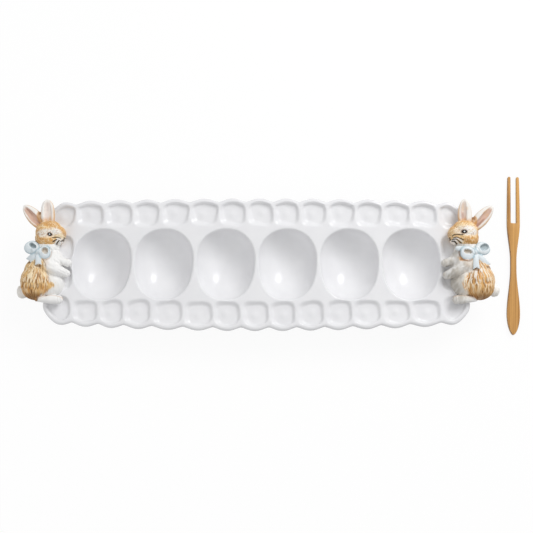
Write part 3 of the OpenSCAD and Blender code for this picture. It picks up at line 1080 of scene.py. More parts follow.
@dataclass
class Ear:
    """One ear: root, tip, half width and half thickness, in the rabbit's own millimetres."""

    root: Point
    tip: Point
    half_w: float = 5.9
    half_t: float = 3.1
    scoop: float = 1.9
    fold: float = 0.0
    fullness: float = 2.0
    hollow: float = 0.66
    widest: float = 0.42
    root_share: float = 0.74

    def frame(self) -> tuple[Vector, Vector, float]:
        """Works out how the ear lies.

        Returns:
            The direction along the ear, the direction across it, and its length.
        """
        run = Vector(self.tip) - Vector(self.root)
        along = run.normalized()
        return along, Vector((along.y, -along.x, 0.0)).normalized(), run.length

    def where(self, x: Array, y: Array) -> tuple[Array, Array]:
        """Place on the ear.

        Args:
            x: Places along the dish, in the rabbit's own frame.
            y: Places across the dish.

        Returns:
            The share along the ear from its root, and the share across it, 1 on its right edge.
        """
        along, across, length = self.frame()
        dx, dy = x - self.root[0], y - self.root[1]
        t = (dx * along.x + dy * along.y) / length
        a = (dx * across.x + dy * across.y) / self.half_w
        return t, a / np.maximum(self.outline(t), 0.08)

    def outline(self, t: Array) -> Array:
        """Half width along the ear, full to the middle and rounded at the tip.

        Args:
            t: Shares of the way along the ear from its root.

        Returns:
            The half width as a share of the widest.
        """
        t = np.clip(np.asarray(t, float), 0.0, 1.0)
        past = np.clip(t - self.widest, 0.0, 1.0) / (1.0 - self.widest)
        tip = np.sqrt(np.clip(1 - past**self.fullness, 0.0, 1.0)) ** 1.12
        return tip * (self.root_share + (1.0 - self.root_share) * smooth_step(0.0, 0.45, t))

    def add_to(self, bm: bmesh.types.BMesh, place: Matrix) -> None:
        """Presses the ear on to the clay as a hollowed leaf.

        Args:
            bm: The clay so far.
            place: Carries the rabbit's millimetres to the set.
        """
        along, across, length = self.frame()
        up = along.cross(across)
        up = up if up.z > 0 else -up
        verts = bmesh.ops.create_icosphere(bm, subdivisions=5, radius=1.0)["verts"]
        ball = np.array([v.co for v in verts])
        t = (ball[:, 1] + 1) / 2
        around = np.sqrt(np.maximum(1 - ball[:, 1] ** 2, 1e-6))
        a, z = ball[:, 0] / around, ball[:, 2] / around
        thick = self.half_t * (1 - 0.42 * t) * np.minimum(1.0, 3.0 * np.sqrt(np.maximum(1 - t, 0.0)))
        scoop = np.clip(1 - ((a - self.fold) / self.hollow) ** 2, 0.0, 1.0) * np.minimum(1.0, 2.6 * (1 - t))
        lift = z * thick - self.scoop * scoop * np.clip(z + 0.2, 0.0, 1.2)
        wide = a * self.outline(t) * self.half_w
        for vert, s, w, h in zip(verts, t, wide, lift):
            vert.co = place @ (Vector(self.root) + along * (s * length) + across * w + up * h)


@dataclass
class BowLoop:
    """One puffed loop of a bow, its hollow and how warm the colour, partly painted shade, in that hollow is.
    """

    puff: Lump
    hole: Patch
    warm: float


@dataclass
class RibbonEnd:
    """One loose end of a bow: the middle of its tip and the half width there, in millimetres."""

    tip: Point
    half_w: float


@dataclass
class Bow:
    """A tied ribbon with two loops, two ends and the band round the neck."""

    knot: Point
    loops: tuple[BowLoop, BowLoop]
    ends: tuple[RibbonEnd, RibbonEnd]
    band: tuple[Point, ...]
    pale: float
    knot_half: Point = (2.7, 3.0, 2.7)
    knot_turn: float = 15.0
    band_r: float = 2.1
    hole_depth: float = 3.0
    ribbon_t: float = 2.4
    ribbon_root: float = 1.7
    ribbon_bulge: float = 0.9
    ribbon_arch: float = 1.0
    ribbon_sink: float = 0.4
    ribbon_cells: tuple[int, int] = (14, 20)
    notch_share: float = 0.10
    pinch_share: float = 0.62
    pinch_h: float = 2.6

    @staticmethod
    def of(side: Side) -> "Bow":
        """The bow of one rabbit.

        Args:
            side: End of the dish that the rabbit sits on.

        Returns:
            The bow.
        """
        if side is Side.LEFT:
            outer = BowLoop(
                puff=Lump((-17.4, 3.2, 9.8), (6.9, 6.1, 2.5), 12.0),
                hole=Patch((-15.7, 3.9), (3.6, 2.0), -36.0),
                warm=0.1,
            )
            inner = BowLoop(
                puff=Lump((-5.3, -1.9, 12.4), (5.1, 6.3, 2.4), 14.0),
                hole=Patch((-5.6, -0.5), (2.6, 3.0), 28.0),
                warm=1.0,
            )
            return Bow(
                knot=(-10.9, -0.7, 12.2),
                loops=(outer, inner),
                ends=(RibbonEnd((-20.0, -9.4, 8.6), 3.9), RibbonEnd((-10.2, -13.2, 12.6), 3.0)),
                band=((-5.0, 2.4, 11.8), (-2.6, 3.2, 11.2)),
                pale=0.15,
            )
        outer = BowLoop(
            puff=Lump((-18.8, 2.2, 9.6), (6.9, 6.0, 2.5), 12.0),
            hole=Patch((-19.4, 2.8), (4.2, 2.9), -24.0),
            warm=0.1,
        )
        inner = BowLoop(
            puff=Lump((-4.7, -2.4, 12.2), (6.2, 6.7, 2.4), 4.0),
            hole=Patch((-5.8, -1.4), (3.5, 2.2), 12.0),
            warm=1.0,
        )
        return Bow(
            knot=(-11.6, -1.0, 12.2),
            loops=(outer, inner),
            ends=(RibbonEnd((-12.2, -17.0, 12.8), 2.9), RibbonEnd((-23.8, -13.6, 7.0), 3.4)),
            band=((-2.0, 2.2, 11.8), (3.4, 2.2, 10.6)),
            pale=0.5,
        )


@dataclass(frozen=True)
class Relief:
    """Heights of the carved fur, face and knot over the smooth clay, in millimetres."""

    wisp: float = 0.42
    gap: float = 0.62
    bed: float = 0.05
    tail: float = 0.5
    chest: float = 0.75
    belly: float = 0.4
    arm: float = 0.5
    toes: float = 0.6
    face: float = 0.45
    socket: float = 0.5
    eyeball: float = 0.6
    cheek: float = 0.4
    mouth: float = 0.45
    mouth_w: float = 1.1
    knot: float = 0.45


@dataclass
class Rabbit:
    """A seated rabbit that faces the wells, in millimetres from its seat on the field."""

    side: Side
    seed: int
    near_ear: Ear
    far_ear: Ear
    bow: Bow
    eye: Patch
    fur_edge: Path
    whiskers: tuple[Path, ...]
    chalk: tuple[Path, ...]
    face: tuple[Dab, ...]
    marks: tuple[Dab, ...]
    tuft_at: Spot
    tail_at: Spot = (-26.4, -34.4)
    mouth: Path = ((10.3, 12.6), (9.9, 11.0), (8.9, 9.6), (7.8, 8.7))
    seat: Point = (181.0, 9.0, 27.0)
    head_shift: Spot = (0.0, 0.0)
    haunch_out: float = 0.0
    belly: float = 10.6
    arm_drop: float = 0.0
    # shade: strength of the painted shade on the white fur and ears; it also warms and curls the brown fur,
    # whitens its wisps and deepens the near ear's pink
    shade: float = 0.0
    dish_end: float = 187.0
    inside_slab: float = 20.5
    body_voxel: float = 0.32
    head_voxel: float = 0.30
    bow_voxel: float = 0.28
    body_rounds: int = 12
    head_rounds: int = 7
    bow_rounds: int = 6
    relief: Relief = Relief()

    HAUNCH_X: ClassVar[float] = -13.2
    FOOT_Y: ClassVar[float] = -42.3
    EAR_LINE: ClassVar[float] = 24.0
    SNOUT: ClassVar[Spot] = (14.0, 15.5)
    FAN_AT: ClassVar[Spot] = (-12.0, 9.0)
    FAN_R: ClassVar[float] = 31.0
    WISP: ClassVar[Spot] = (0.55, 4.6)
    WISP_LEAN: ClassVar[float] = 0.13
    GAP_LEAN: ClassVar[float] = 0.06
    FOOT: ClassVar[Patch] = Patch((-1.0, -43.2), (12.4, 4.0), 1.0)
    CHEST: ClassVar[Patch] = Patch((2.0, -6.0), (9.5, 11.0))
    SHOULDER: ClassVar[Patch] = Patch((-5.5, -10.5), (5.0, 5.5))
    BELLY: ClassVar[Patch] = Patch((4.0, -28.0), (9.0, 10.0))
    BELLY_SHADE: ClassVar[Patch] = Patch((4.0, -28.0), (10.0, 11.0))
    SKULL: ClassVar[Patch] = Patch((-4.0, 17.5), (11.6, 10.6))
    CHEEK: ClassVar[Patch] = Patch((-4.5, 9.8), (5.0, 3.4))
    NOSE: ClassVar[Patch] = Patch((10.6, 15.4), (1.3, 1.8), -18.0)

    @staticmethod
    def of(side: Side) -> "Rabbit":
        """The rabbit at one end of the dish, each drawn by its own hand.

        Args:
            side: End of the dish.

        Returns:
            The rabbit.
        """
        return Rabbit.left() if side is Side.LEFT else Rabbit.right()

    @staticmethod
    def left() -> "Rabbit":
        """Draws the rabbit at the left end.

        Returns:
            The rabbit.
        """
        return Rabbit(
            side=Side.LEFT,
            seed=1,
            near_ear=Ear((-4.0, 20.5, 7.0), (-6.4, 47.9, 7.6), half_w=6.3, fold=0.05, fullness=3.0),
            far_ear=Ear((-8.0, 22.0, 4.6), (-27.9, 43.2, 4.4), half_w=6.6, fold=-0.2, hollow=0.58),
            bow=Bow.of(Side.LEFT),
            eye=Patch((-1.2, 14.2), (1.8, 1.35), -4.0),
            fur_edge=(
                (-13, -45), (-10.5, -41), (-8.4, -39.7), (-2.2, -35.4), (1.6, -33), (3.4, -30.7),
                (0.2, -28.4), (-1.4, -25.4), (-2.8, -20.4), (-4.6, -13.3), (-6, -9), (-8, -4),
            ),
            whiskers=(
                ((7.5, 11.5), (5.2, 12.0), (3.2, 11.9), (1.0, 11.3)),
                ((4.6, 9.9), (2.8, 9.2), (1.2, 8.0)),
                ((6.6, 9.3), (5.0, 7.9), (3.6, 6.5), (3.1, 5.6)),
            ),
            chalk=(
                ((5.7, 9.6), (3.8, 8.2), (2.0, 6.4)),
                ((7.4, 8.2), (5.8, 6.6)),
                ((7.2, 10.5), (4.6, 10.7)),
            ),
            face=(
                Dab(FUR.ochre, (-4.0, 24.0), (12.0, 2.7), 2.0, 0.8),
                Dab(FUR.ochre, (8.6, 19.0), (4.8, 2.4), -52.0, 0.6),
                Dab(FUR.ochre, (-6.0, 8.2), (10.0, 3.6), 0.0, 0.6),
                Dab(FUR.caramel, (-12.6, 9.6), (4.6, 4.4), 0.0, 0.55),
                Dab(FUR.ivory, (-3.4, 15.4), (9.4, 4.1), 4.0, 0.95),
                Dab(FUR.white, (3.8, 17.0), (5.2, 3.0), -12.0, 0.95),
                Dab(FUR.cream, (8.0, 13.0), (3.4, 2.8), 0.0, 0.8),
                Dab(FUR.white, (7.6, 8.4), (4.4, 3.5), 15.0, 0.92),
                Dab(FUR.white, (3.4, 6.4), (3.0, 1.3), 40.0, 0.85),
            ),
            marks=(
                Dab(FUR.golden, (0.0, -31.0), (5.0, 2.4), 25.0, 0.8),
                Dab(FUR.ochre, (-5.0, -34.0), (5.0, 3.0), 30.0, 0.35),
            ),
            tuft_at=(-11.6, 32.6),
        )

    @staticmethod
    def right() -> "Rabbit":
        """Draws the rabbit at the right end, with painted shade on its white fur and ears, warmer brown fur
        and a lower arm.

        Returns:
            The rabbit.
        """
        return Rabbit(
            side=Side.RIGHT,
            seed=101,
            near_ear=Ear((-4.8, 20.5, 7.0), (-5.2, 48.4, 7.6), half_w=6.5, fold=0.2, hollow=0.48),
            far_ear=Ear((-10.6, 20.4, 4.6), (-30.8, 42.6, 4.2), half_w=6.4, fold=-0.15, hollow=0.50),
            bow=Bow.of(Side.RIGHT),
            eye=Patch((-2.3, 16.5), (2.25, 1.55), 8.0),
            fur_edge=(
                (-16, -45), (-10.6, -41.1), (-5, -37.5), (-1.6, -33.5), (-0.4, -29),
                (-1.5, -26.1), (-4.8, -21), (-8.7, -17), (-9.5, -9), (-10, -4),
            ),
            whiskers=(
                ((7.4, 13.5), (6.1, 14.3), (2.8, 14.4), (-1.1, 13.8)),
                ((6.6, 11.6), (4.1, 12.1), (1.2, 11.1), (-1.7, 9.3)),
                ((7.5, 10.3), (4.4, 10.5), (2.1, 9.0), (-0.3, 7.0)),
                ((7.4, 9.1), (5.8, 8.8), (4.0, 7.4), (2.2, 5.8)),
            ),
            chalk=(
                ((6.8, 11.0), (4.0, 11.3), (1.6, 10.1), (-0.8, 8.2)),
                ((8.2, 9.9), (5.4, 9.9), (3.1, 8.3), (1.0, 6.5)),
            ),
            face=(
                Dab(FUR.cream, (-2.0, 18.5), (13.0, 9.5), 0.0, 0.2),
                Dab(FUR.ochre, (5.8, 23.0), (5.6, 1.8), -48.0, 0.75),
                Dab(FUR.ochre, (-5.0, 27.6), (8.5, 1.9), 0.0, 0.7),
                Dab(FUR.ochre, (-16.6, 15.5), (1.9, 7.5), 0.0, 0.7),
                Dab(FUR.ochre, (-8.5, 8.6), (9.0, 4.4), 4.0, 0.85),
                Dab(FUR.caramel, (-5.0, 8.6), (3.6, 2.4), 0.0, 0.5),
                Dab(FUR.white, (-6.5, 17.4), (7.8, 5.0), 0.0, 0.92),
                Dab(FUR.ivory, (1.6, 18.6), (5.4, 3.4), -20.0, 0.55),
                Dab(FUR.golden, (3.6, 12.2), (5.0, 2.6), 0.0, 0.5),
                Dab(FUR.white, (6.8, 7.4), (4.0, 2.6), 10.0, 0.92),
            ),
            marks=(
                Dab(FUR.ochre, (0.6, -7.6), (3.4, 2.0), 35.0, 0.75),
                Dab(FUR.brown, (-1.6, -8.8), (3.2, 1.0), 20.0, 0.6),
            ),
            tuft_at=(-12.3, 27.8),
            tail_at=(-29.6, -32.9),
            mouth=((9.4, 12.8), (9.1, 11.6), (8.7, 10.6)),
            head_shift=(-0.8, 0.2),
            haunch_out=2.2,
            belly=8.4,
            arm_drop=1.6,
            shade=1.0,
        )

    @property
    def place(self) -> Matrix:
        """Carries the rabbit's own millimetres to its end of the dish.

        Returns:
            The matrix, whose results are metres.
        """
        x, y, z = self.seat
        flip = Matrix.Diagonal((float(-self.side.value), 1.0, 1.0, 1.0))
        return Matrix.Scale(MM, 4) @ Matrix.Translation((self.side.value * x, y, z)) @ flip

    def own(self, mesh: bpy.types.Mesh) -> Array:
        """Reads where a mesh's points lie on the rabbit.

        Args:
            mesh: The mesh, in metres.

        Returns:
            The x, y and z of the points as three rows, in the rabbit's own millimetres.
        """
        p = points_of(mesh) - np.array((self.side.value * self.seat[0], self.seat[1], self.seat[2]))
        p[:, 0] *= -self.side.value
        return p.T

    def name(self, piece: str) -> str:
        """Name of a piece of this rabbit."""
        return f"{self.side.word}_rabbit_{piece}"

    def brush(self, layer: Layer, x: Array, y: Array, size: Spot = (1.0, 1.0), lean: float = 0.0) -> Array:
        """Short strokes or specks of one pattern, from 0 to 1.

        Args:
            layer: The pattern.
            x: First coordinate.
            y: Second coordinate.
            size: Size of a stroke along each of them.
            lean: Slope by which the strokes lean.

        Returns:
            The pattern at each place.
        """
        return mottle((x + lean * y) / size[0], (y - lean * x) / size[1], self.seed + layer.value)

    # Body

    @property
    def tail(self) -> Lump:
        """The ball of the tail."""
        return Lump((*self.tail_at, -1.8), (5.3, 6.2, 5.3))

    def body_lumps(self) -> list[Lump]:
        """Shapes the clay of the body.

        Returns:
            Haunch, belly, chest, back, legs, hind foot and tail.
        """
        out, drop = self.haunch_out, self.arm_drop
        haunch = Lump((self.HAUNCH_X - out, -25.6, 0.0), (14.8, 15.9, 14.6))
        rump = Lump((-14.2 - out, -30.2, 0.6), (13.0, 11.8, 13.4))
        belly = Lump((self.belly - 11.0, -26.6, -1.2), (11.0, 13.2, 12.0))
        chest = Lump((-4.6, -8.0, 0.0), (14.4, 13.6, 13.2))
        shoulder = Lump((-12.4 - 0.6 * out, -10.5, -0.5), (9.4, 11.0, 11.6))
        back = Lump((-14.8 - 0.8 * out, -16.5, -0.5), (10.4, 11.0, 12.6))
        neck = Lump((-5.5, 4.5, 1.0), (10.8, 10.2, 11.0))
        far_paw = Lump((13.4, -9.6, 4.2), (3.9, 3.7, 3.7))
        made = [haunch, rump, belly, chest, shoulder, back, neck, self.tail, far_paw]
        near_foreleg = [(-2.8, -11.6, 8.4), (5.0, -16.8 - drop, 8.6), (12.8, -19.2 - drop, 4.3)]
        far_foreleg = [(4.0, -6.6, 5.0), (13.2, -9.6, 4.0)]
        hind_foot = [(-12.0, -42.0, 3.0), (-0.5, -42.4, 3.6), (self.belly - 4.0, self.FOOT_Y, 3.0)]
        made += limb(near_foreleg, [5.7, 5.0, 3.6])
        made += limb(far_foreleg, [4.0, 3.3])
        made += limb(hind_foot, [2.2, 3.8, 4.0], flat=0.95)
        return made

    def wisps(self, x: Array, y: Array, lean: float, layer: Layer) -> Array:
        """Fine strokes that fan out from under the bow, from 0 to 1.

        Args:
            x: Places along the dish, in the rabbit's own frame.
            y: Places across the dish.
            lean: How far the strokes lean off the fan, as a slope.
            layer: The pattern.

        Returns:
            The strokes at each place.
        """
        seed = self.seed + layer.value
        fan_x, fan_y = self.FAN_AT
        wide, long = self.WISP
        dx, dy = x - fan_x, np.maximum(fan_y - y, 1.0)
        run = np.hypot(dx, dy)
        across = np.arctan2(dx, dy) * self.FAN_R + lean * run
        across = across + (0.8 + 0.9 * self.shade) * mottle(x / 4.0, y / 4.0, seed + SWAY_SEED)
        return mottle(across / wide, run / long, seed)

    def strokes(self, x: Array, y: Array, z: Array) -> tuple[Array, Array]:
        """Brushed fur of the body.

        Args:
            x: Places along the dish, in the rabbit's own frame.
            y: Places across the dish.
            z: Heights above the field.

        Returns:
            The light wisps and the dark gaps between them, each from 0 to 1.
        """
        x = unroll(x, z, self.HAUNCH_X - self.haunch_out)
        wisp = self.wisps(x, y, self.WISP_LEAN, Layer.WISP)
        wisp = np.maximum(wisp, self.wisps(x, y, -self.WISP_LEAN, Layer.CROSS_WISP))
        gap = self.wisps(x, y, self.GAP_LEAN, Layer.GAP)
        light = smooth_step(0.56, 0.78, wisp)
        return light, smooth_step(0.48, 0.26, gap) * (1 - 0.8 * light)

    def past_fur(self, x: Array, y: Array) -> Array:
        """Distance past the edge of the brown fur, towards the belly."""
        edge_x, edge_y = zip(*self.fur_edge)
        return x - np.interp(y, edge_y, edge_x)

    def haunch_cover(self, x: Array, y: Array) -> Array:
        """Cover of the brown fur on the body.

        Args:
            x: Places along the dish, in the rabbit's own frame.
            y: Places across the dish.

        Returns:
            The cover from 0 to 1.
        """
        ragged = 3.4 * (self.wisps(x, y, 0.4, Layer.FRINGE) - 0.5)
        cover = smooth_step(2.2, -2.0, self.past_fur(x, y) + ragged)
        top = smooth_step(-4.0, -9.0, y + 0.5 * ragged)
        foot = self.FOOT.cover(x, y, 0.98, 1.12)
        return cover * top * np.maximum(foot, smooth_step(-9.0, -12.5, x))

    def toes(self, x: Array, y: Array) -> Array:
        """Grooves between the toes.

        Args:
            x: Places along the dish, in the rabbit's own frame.
            y: Places across the dish.

        Returns:
            The grooves of the hind foot and of both forepaws, 1 in their middle.
        """
        near_paw, far_paw = (14.2, -19.4 - self.arm_drop), (15.1, -9.4)
        hind = [Patch((self.belly - back, self.FOOT_Y), (0.5, 2.6)) for back in (4.4, 2.2)]
        fore = [Patch(paw, (0.45, 1.8)) for paw in (near_paw, far_paw)]
        return sum(groove.dome(x, y) for groove in hind + fore)

    def carving(self, x: Array, y: Array, z: Array, cover: Array, tail: Array) -> Array:
        """Relief of the body's fur.

        Args:
            x: Places along the dish, in the rabbit's own frame.
            y: Places across the dish.
            z: Heights above the field.
            cover: Cover of the brown fur.
            tail: Cover of the tail.

        Returns:
            The height of the relief.
        """
        light, gap = self.strokes(x, y, z)
        up = smooth_step(-5.0, 2.0, z)
        bare = up * (1 - cover)
        arm = Patch((5.2, -16.6 - self.arm_drop), (12.0, 5.0), -24.0).cover(x, y, 1.15, 0.85) * up
        chest, belly = self.CHEST.cover(x, y, 1.1, 0.8) * bare, self.BELLY.cover(x, y, 1.1, 0.8) * bare
        relief = self.relief
        high = cover * (relief.wisp * light - relief.gap * gap - relief.bed)
        high += relief.tail * (self.brush(Layer.TAIL, x, y, (1.3, 2.0)) - 0.5) * tail
        high += relief.chest * (self.brush(Layer.CHEST, x, y, (1.6, 3.2), 0.5) - 0.55) * chest
        high += relief.belly * (self.brush(Layer.BELLY, x, y, (1.3, 4.0), 0.2) - 0.55) * belly
        high += relief.arm * (self.brush(Layer.ARM, x, y, (6.0, 1.1), -0.45) - 0.55) * arm
        return high - relief.toes * self.toes(x, y) * (z > 0)

    def build_body(self) -> bpy.types.Object:
        """Models the body with its legs, foot and tail, carves its fur and paints it.

        Returns:
            The body.
        """
        bm = bmesh.new()
        for lump in self.body_lumps():
            lump.add_to(bm, self.place)
        bmesh.ops.recalc_face_normals(bm, faces=bm.faces)
        obj = mesh_object(self.name("body_sculpted"), bm)
        fuse_clay(obj, self.body_voxel, self.body_rounds)
        world, n = points_of(obj.data), normals_of(obj.data)
        x, y, z = self.own(obj.data)
        tail = smooth_step(1.16, 1.04, self.tail.far(x, y, z))
        cover = self.haunch_cover(x, y) * smooth_step(-9.0, -4.0, z) * (1 - tail)
        world += n * self.carving(x, y, z, cover, tail)[:, None]
        over_dish = np.abs(world[:, 0]) < self.dish_end
        world[:, 2] = np.where(over_dish, np.maximum(world[:, 2], self.inside_slab), world[:, 2])
        move_points(obj.data, world)
        paint_points(obj.data, self.paint_body(x, y, z, cover))
        return obj

    def paint_body(self, x: Array, y: Array, z: Array, cover: Array) -> Array:
        """Colours of the body.

        Args:
            x: Places along the dish, in the rabbit's own frame.
            y: Places across the dish.
            z: Heights above the field.
            cover: Cover of the brown fur.

        Returns:
            Linear colours.
        """
        c = FUR
        light, gap = self.strokes(x, y, z)
        broad = self.brush(Layer.BROAD, x, y, (5.0, 5.0))
        grain = self.brush(Layer.GRAIN, x, y, (1.5, 3.0), 0.4)
        # Painted shade: where shade is set, the white fur is greyed towards the front of the body and most
        # over the belly, mottled by brush grain
        grey = 0.15 + 0.35 * broad + 0.75 * grain + 0.4 * self.BELLY_SHADE.cover(x, y, 1.3, 0.6)
        grey = np.clip(grey, 0.0, 1.15) * smooth_step(-12.0, 0.0, x)
        col = mix(plain(x, c.white), c.shaded, self.shade * grey)
        wash = smooth_step(9.0, 0.0, self.past_fur(x, y)) * smooth_step(0.3, 0.8, broad)
        col = mix(col, c.ivory, 0.75 * wash * smooth_step(-3.0, -10.0, y))
        col = mix(col, c.tan, 0.45 * self.SHOULDER.cover(x, y, 1.2, 0.5) * (0.4 + 0.6 * broad))
        col = mix(col, self.brown_fur(x, y, z, broad), cover)
        for mark in self.marks:
            col = mark.lay(col, x, y, 0.6 * (light - gap))
        foot = smooth_step(0.16, 0.0, np.abs(self.FOOT.rho(x, y) - 1.02)) * (y > -43)
        col = mix(col, c.caramel, 0.4 * foot)
        # Painted shadow: a brown line along the lower edge of the bow's inner loop, stronger under a paler
        # bow, and brown under the tips of the ribbon ends.
        inner = self.bow.loops[1].puff
        under = Patch(inner.at[:2], (inner.half[0] + 0.4, inner.half[1] + 0.4), inner.turn).rho(x, y)
        line = smooth_step(0.22, 0.0, np.abs(under - 1.02)) * (y < inner.at[1] + 2)
        col = mix(col, c.brown, (0.35 + 0.5 * self.bow.pale) * line)
        for end in self.bow.ends:
            shadow = Patch((end.tip[0], end.tip[1] - 0.6), (end.half_w, 1.3))
            col = mix(col, c.brown, 0.7 * shadow.cover(x, y, 1.2, 0.5))
        return col

    def brown_fur(self, x: Array, y: Array, z: Array, broad: Array) -> Array:
        """Colours of the brown fur, dark between its light wisps.

        Args:
            x: Places along the dish, in the rabbit's own frame.
            y: Places across the dish.
            z: Heights above the field.
            broad: Broad clouds from 0 to 1.

        Returns:
            Linear colours.
        """
        c = FUR
        light, gap = self.strokes(x, y, z)
        low = smooth_step(-27.0, -41.5, y) * smooth_step(8.0, -6.0, x)
        rim = np.maximum(smooth_step(-21.0, -28.0, x), smooth_step(4.0, -4.0, z))
        pale = Patch((-11.0 - 0.5 * self.haunch_out, -21.0), (8.0, 11.0)).cover(x, y, 1.2, 0.3)
        warm = np.clip(smooth_step(0.30, 0.80, broad) + 0.6 * self.shade, 0.0, 1.0)
        fur = mix(plain(x, c.golden), c.ochre, warm)
        fur = mix(fur, c.cream, (0.22 - 0.1 * self.shade) * pale)
        fur = mix(fur, c.caramel, (1 - 0.75 * self.shade) * np.clip(0.45 * low + 0.5 * rim, 0.0, 1.0))
        dark = mix(plain(x, c.brown), c.caramel, np.full(len(x), 0.6 * self.shade))
        fur = mix(fur, dark, gap * (0.68 + 0.1 * low))
        tip = mix(plain(x, c.cream), c.white, self.shade * (0.25 + 0.65 * pale))
        tip = mix(tip, c.golden, np.clip(0.85 * low + 0.4 * rim, 0.0, 1.0))
        fur = mix(fur, tip, light * (0.88 - 0.3 * low - 0.2 * rim))
        return mix(fur, c.brown, 0.7 * smooth_step(-36.0, -41.0, y) * smooth_step(-3.0, -9.0, x))

    # Head

    def head_lumps(self) -> list[Lump]:
        """Shapes the clay of the head.

        Returns:
            Skull, brow, snout, nose, cheek, chin, nape and the tuft that fills the gap between the ears.
        """
        tuft_x, tuft_y = (a - b for a, b in zip(self.tuft_at, self.head_shift))
        skull = Lump((-5.0, 17.8, 5.0), (10.9, 10.6, 10.6))
        brow = Lump((-1.5, 20.2, 5.4), (9.2, 8.4, 9.4), -20.0)
        snout = Lump((3.6, 16.6, 5.0), (7.8, 7.6, 8.4), -18.0)
        nose = Lump((7.0, 15.8, 4.6), (4.2, 4.8, 6.0), -18.0)
        cheek = Lump((-5.2, 11.3, 5.2), (10.4, 7.6, 9.6))
        chin = Lump((4.0, 11.4, 4.6), (5.8, 5.0, 7.4))
        nape = Lump((-9.8, 12.4, 4.6), (6.2, 7.8, 8.4))
        tuft = Lump((tuft_x, tuft_y, 4.4), (3.0, 4.6, 3.4), 12.0)
        return [skull, brow, snout, nose, cheek, chin, nape, tuft]

    def build_head(self) -> bpy.types.Object:
        """Models the head with its ears and paints its face.

        Returns:
            The head.
        """
        bm = bmesh.new()
        shift = Matrix.Translation((*self.head_shift, 0.0))
        for lump in self.head_lumps():
            lump.add_to(bm, self.place @ shift)
        for ear in (self.near_ear, self.far_ear):
            ear.add_to(bm, self.place)
        bmesh.ops.recalc_face_normals(bm, faces=bm.faces)
        obj = mesh_object(self.name("head_sculpted"), bm)
        fuse_clay(obj, self.head_voxel, self.head_rounds)
        world, n = points_of(obj.data), normals_of(obj.data)
        x, y, z = self.own(obj.data)
        socket = self.eye.grown(1.6, 1.7).dome(x, y)
        ball = np.clip(1 - self.eye.rho(x, y) ** 2, 0.0, 1.0)
        relief = self.relief
        below_ears, front = smooth_step(29.0, 26.0, y), smooth_step(3.0, 8.0, z)
        fur = relief.face * (self.face_fur(x, y, z)[0] - 0.5) * below_ears * (1 - ball)
        cheek, mouth = self.CHEEK.dome(x, y), stroke(x, y, self.mouth, relief.mouth_w)
        high = fur - relief.socket * socket + relief.eyeball * ball + relief.cheek * cheek
        high -= relief.mouth * mouth
        world += n * (front * high)[:, None]
        move_points(obj.data, world)
        paint_points(obj.data, self.paint_head(x, y, z))
        return obj

    def face_fur(self, x: Array, y: Array, z: Array) -> tuple[Array, Array, Array]:
        """Short fur of the face.

        Args:
            x: Places along the dish, in the rabbit's own frame.
            y: Places across the dish.
            z: Heights above the field.

        Returns:
            The dabbed fur, the fine hairs on it and its stipple, each from 0 to 1.
        """
        x, y = unroll(x, z, -4.0), unroll(y, z, 16.0)
        snout_x, snout_y = self.SNOUT
        back, far = np.arctan2(y - snout_y, snout_x - x), np.hypot(y - snout_y, x - snout_x)
        dab = 0.65 * self.brush(Layer.DAB, back * 15.0, far, (1.0, 2.2))
        dab = dab + 0.35 * self.brush(Layer.DOT, x, y, (0.8, 0.8))
        hair = self.brush(Layer.HAIR, back * 26.0, far, (1.0, 1.6))
        return np.clip(0.5 + 1.4 * (dab - 0.5), 0.0, 1.0), hair, self.brush(Layer.SPECK, x, y, (0.7, 0.7))

    def paint_head(self, x: Array, y: Array, z: Array) -> Array:
        """Colours of the head and ears.

        Args:
            x: Places along the dish, in the rabbit's own frame.
            y: Places across the dish.
            z: Heights above the field.

        Returns:
            Linear colours.
        """
        c = FUR
        fur, hair, speck = self.face_fur(x, y, z)
        col = mix(plain(x, c.ochre), c.golden, smooth_step(0.10, 0.50, fur))
        col = mix(col, c.cream, 0.8 * smooth_step(0.55, 0.90, fur))
        for dab in self.face:
            col = dab.lay(col, x, y, fur - 0.5)
        col = mix(col, c.caramel, 0.6 * smooth_step(0.32, 0.08, hair) * smooth_step(11.0, 7.0, x))
        col = mix(col, c.cream, 0.5 * smooth_step(0.70, 0.92, hair))
        col = mix(col, c.caramel, 0.55 * smooth_step(0.36, 0.12, speck))
        col = mix(col, c.cream, 0.5 * smooth_step(0.64, 0.86, speck))
        below_ears = y < self.EAR_LINE
        col = mix(col, c.caramel, 0.5 * smooth_step(-13.5, -16.0, x - self.head_shift[0]) * below_ears)
        col = mix(col, c.tan, 0.6 * smooth_step(3.0, -1.0, z) * below_ears)
        for ear in (self.far_ear, self.near_ear):
            col = self.paint_ear(col, x, y, z, ear)
        col = self.paint_tuft(col, x, y, z, fur - 0.5)
        front = smooth_step(0.0, 4.0, z)
        for line in self.chalk:
            col = mix(col, c.white, 0.85 * front * stroke(x, y, line, 0.7))
        for line in self.whiskers:
            col = mix(col, c.dark, 0.97 * front * stroke(x, y, line, 0.82))
        col = mix(col, c.dark, 0.85 * front * stroke(x, y, self.mouth, 0.7))
        col = mix(col, c.rose, 0.35 * self.NOSE.cover(x, y, 1.2, 0.7))
        return self.paint_eye(col, x, y, front)

    def paint_tuft(self, col: Array, x: Array, y: Array, z: Array, ragged: Array) -> Array:
        """Lays the tuft between the ears over the head's colours: ochre, with brown over it as painted shadow
        of the gap between the ears.

        Args:
            col: Colours so far.
            x: Places along the dish, in the rabbit's own frame.
            y: Places across the dish.
            z: Heights above the field.
            ragged: Unevenness of the brush.

        Returns:
            Colours with the tuft and the painted shadow of the gap.
        """
        tx, ty = self.tuft_at
